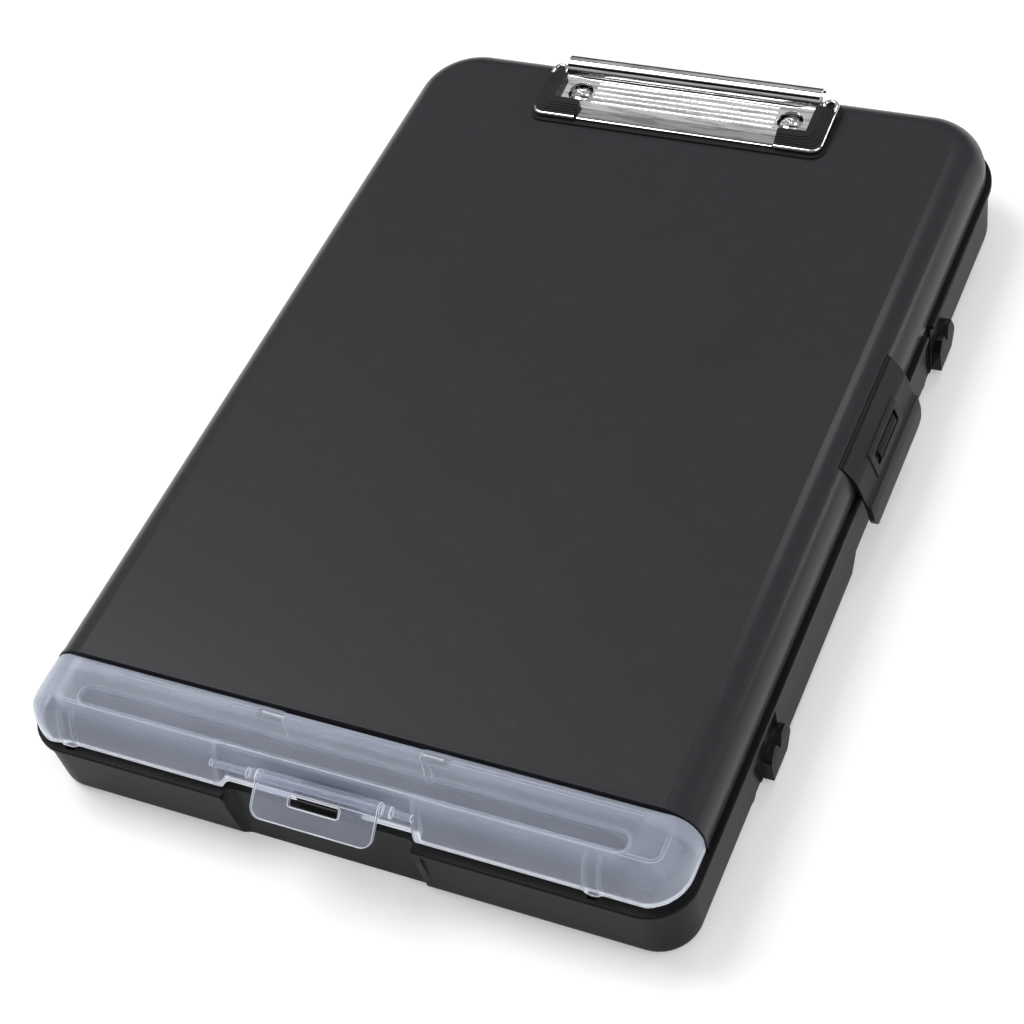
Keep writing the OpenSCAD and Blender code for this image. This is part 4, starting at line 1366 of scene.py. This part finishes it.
@dataclass(frozen=True)
class Studio:
    """White sweep, soft lamps, the camera and the cards that gloss mirrors.

    The cards are pairs of a turn about X, in degrees from straight up to the front, and the
    brightness there.
    """

    floor_size: float = 6.0
    floor_drop: float = 0.0002
    floor_colour: Triple = (0.8, 0.8, 0.8)
    floor_lift: float = 0.27
    sky_colour: Triple = (0.98, 0.99, 1.0)
    sky_strength: float = 0.5
    cards: tuple[Pair, ...] = (
        (-180.0, 0.9), (-98.0, 0.9), (-84.0, 0.05), (-66.0, 0.05), (-60.0, 0.45), (-44.0, 0.45),
        (-38.0, 0.62), (-33.0, 0.62), (-18.0, 0.03), (-8.0, 0.03), (-4.0, 0.95), (22.0, 0.95),
        (26.0, 0.01), (50.0, 0.01), (55.0, 0.6), (72.0, 0.3), (84.0, 0.01),
    )
    camera: PhotoCamera = field(default_factory=PhotoCamera)
    lamps: tuple[SoftLamp, ...] = (
        SoftLamp("key_lamp", (-0.95, 0.15, 1.85), 1.0, 24.0),
        SoftLamp("fill_lamp", (1.4, -0.5, 1.3), 1.2, 9.0),
        SoftLamp("edge_lamp", (1.7, 1.3, 0.45), 0.5, 5.0),
        SoftLamp("crest_lamp", (0.25, 1.35, 1.75), 0.35, 4.0),
    )

    def floor(self) -> None:
        """Lays the floor that carries the shadow."""
        half = self.floor_size / 2
        mesh = bpy.data.meshes.new("studio_floor")
        mesh.from_pydata([(-half, -half, 0), (half, -half, 0), (half, half, 0), (-half, half, 0)],
                         [], [(0, 1, 2, 3)])
        sheet = linked("studio_floor", mesh)
        sheet.location.z = -self.floor_drop
        material = bpy.data.materials.new("studio_paper")
        material.use_nodes = True
        tree = Tree(material.node_tree)
        paper = tree.node("ShaderNodeBsdfDiffuse", None, {"Color": self.floor_colour})
        seen = tree.rays("Camera", "Glossy", "Transmission")
        glow = tree.node("ShaderNodeEmission", None,
                         {"Color": (1.0, 1.0, 1.0), "Strength": seen * self.floor_lift})
        both = tree.node("ShaderNodeAddShader", None, {0: paper, 1: glow})
        tree.node("ShaderNodeOutputMaterial", None, {"Surface": both})
        mesh.materials.append(material)

    def sky(self) -> None:
        """White where the camera sees it, and softer light for the object."""
        world = bpy.data.worlds.new("studio_sky")
        world.use_nodes = True
        tree = Tree(world.node_tree)
        toward = tree.node("ShaderNodeTexCoord", out="Generated")
        back, height = (tree.node("ShaderNodeSeparateXYZ", None, {0: toward}, out=axis)
                        for axis in ("Y", "Z"))
        turn = tree.calc("ARCTAN2", -1.0 * back, height) / math.tau + 0.5
        stops = [(degrees / 360.0 + 0.5, value) for degrees, value in self.cards]
        cards = tree.node("ShaderNodeValToRGB", {"stops": stops}, {0: turn})
        white, lit, soft = (
            tree.node("ShaderNodeBackground", None, {"Color": colour, "Strength": strength})
            for colour, strength in (
                ((1.0, 1.0, 1.0), 1.0), (cards, 1.0), (self.sky_colour, self.sky_strength))
        )
        mirrored = tree.node("ShaderNodeMixShader", None,
                             {0: tree.rays("Glossy"), 1: soft, 2: lit})
        tree.node("ShaderNodeOutputWorld", None, {"Surface": tree.node(
            "ShaderNodeMixShader", None,
            {0: tree.rays("Camera", "Transmission"), 1: mirrored, 2: white},
        )})
        bpy.context.scene.world = world

    def build(self) -> None:
        """Sets up the studio."""
        self.floor()
        self.sky()
        for lamp in self.lamps:
            lamp.put()
        self.camera.put()
        bpy.context.scene.view_settings.view_transform = "Standard"


def main() -> None:
    """Builds the case and its studio."""
    logging.basicConfig(level=logging.INFO, format="%(message)s")
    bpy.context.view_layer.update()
    finishes = Finishes()
    wires, rows_of_pieces = wire_recipe(), row_recipe()
    for assembly in (
        CaseBase(finishes=finishes),
        WritingLid(finishes=finishes),
        SideLatch(finishes=finishes),
        PenCompartment(finishes=finishes),
        SpringClip(finishes=finishes, wires=wires, rows=rows_of_pieces),
        ClipJaw(finishes=finishes, wires=wires),
    ):
        assembly.build()
        assembly.report()
    Studio().build()


if __name__ == "__main__":
    main()
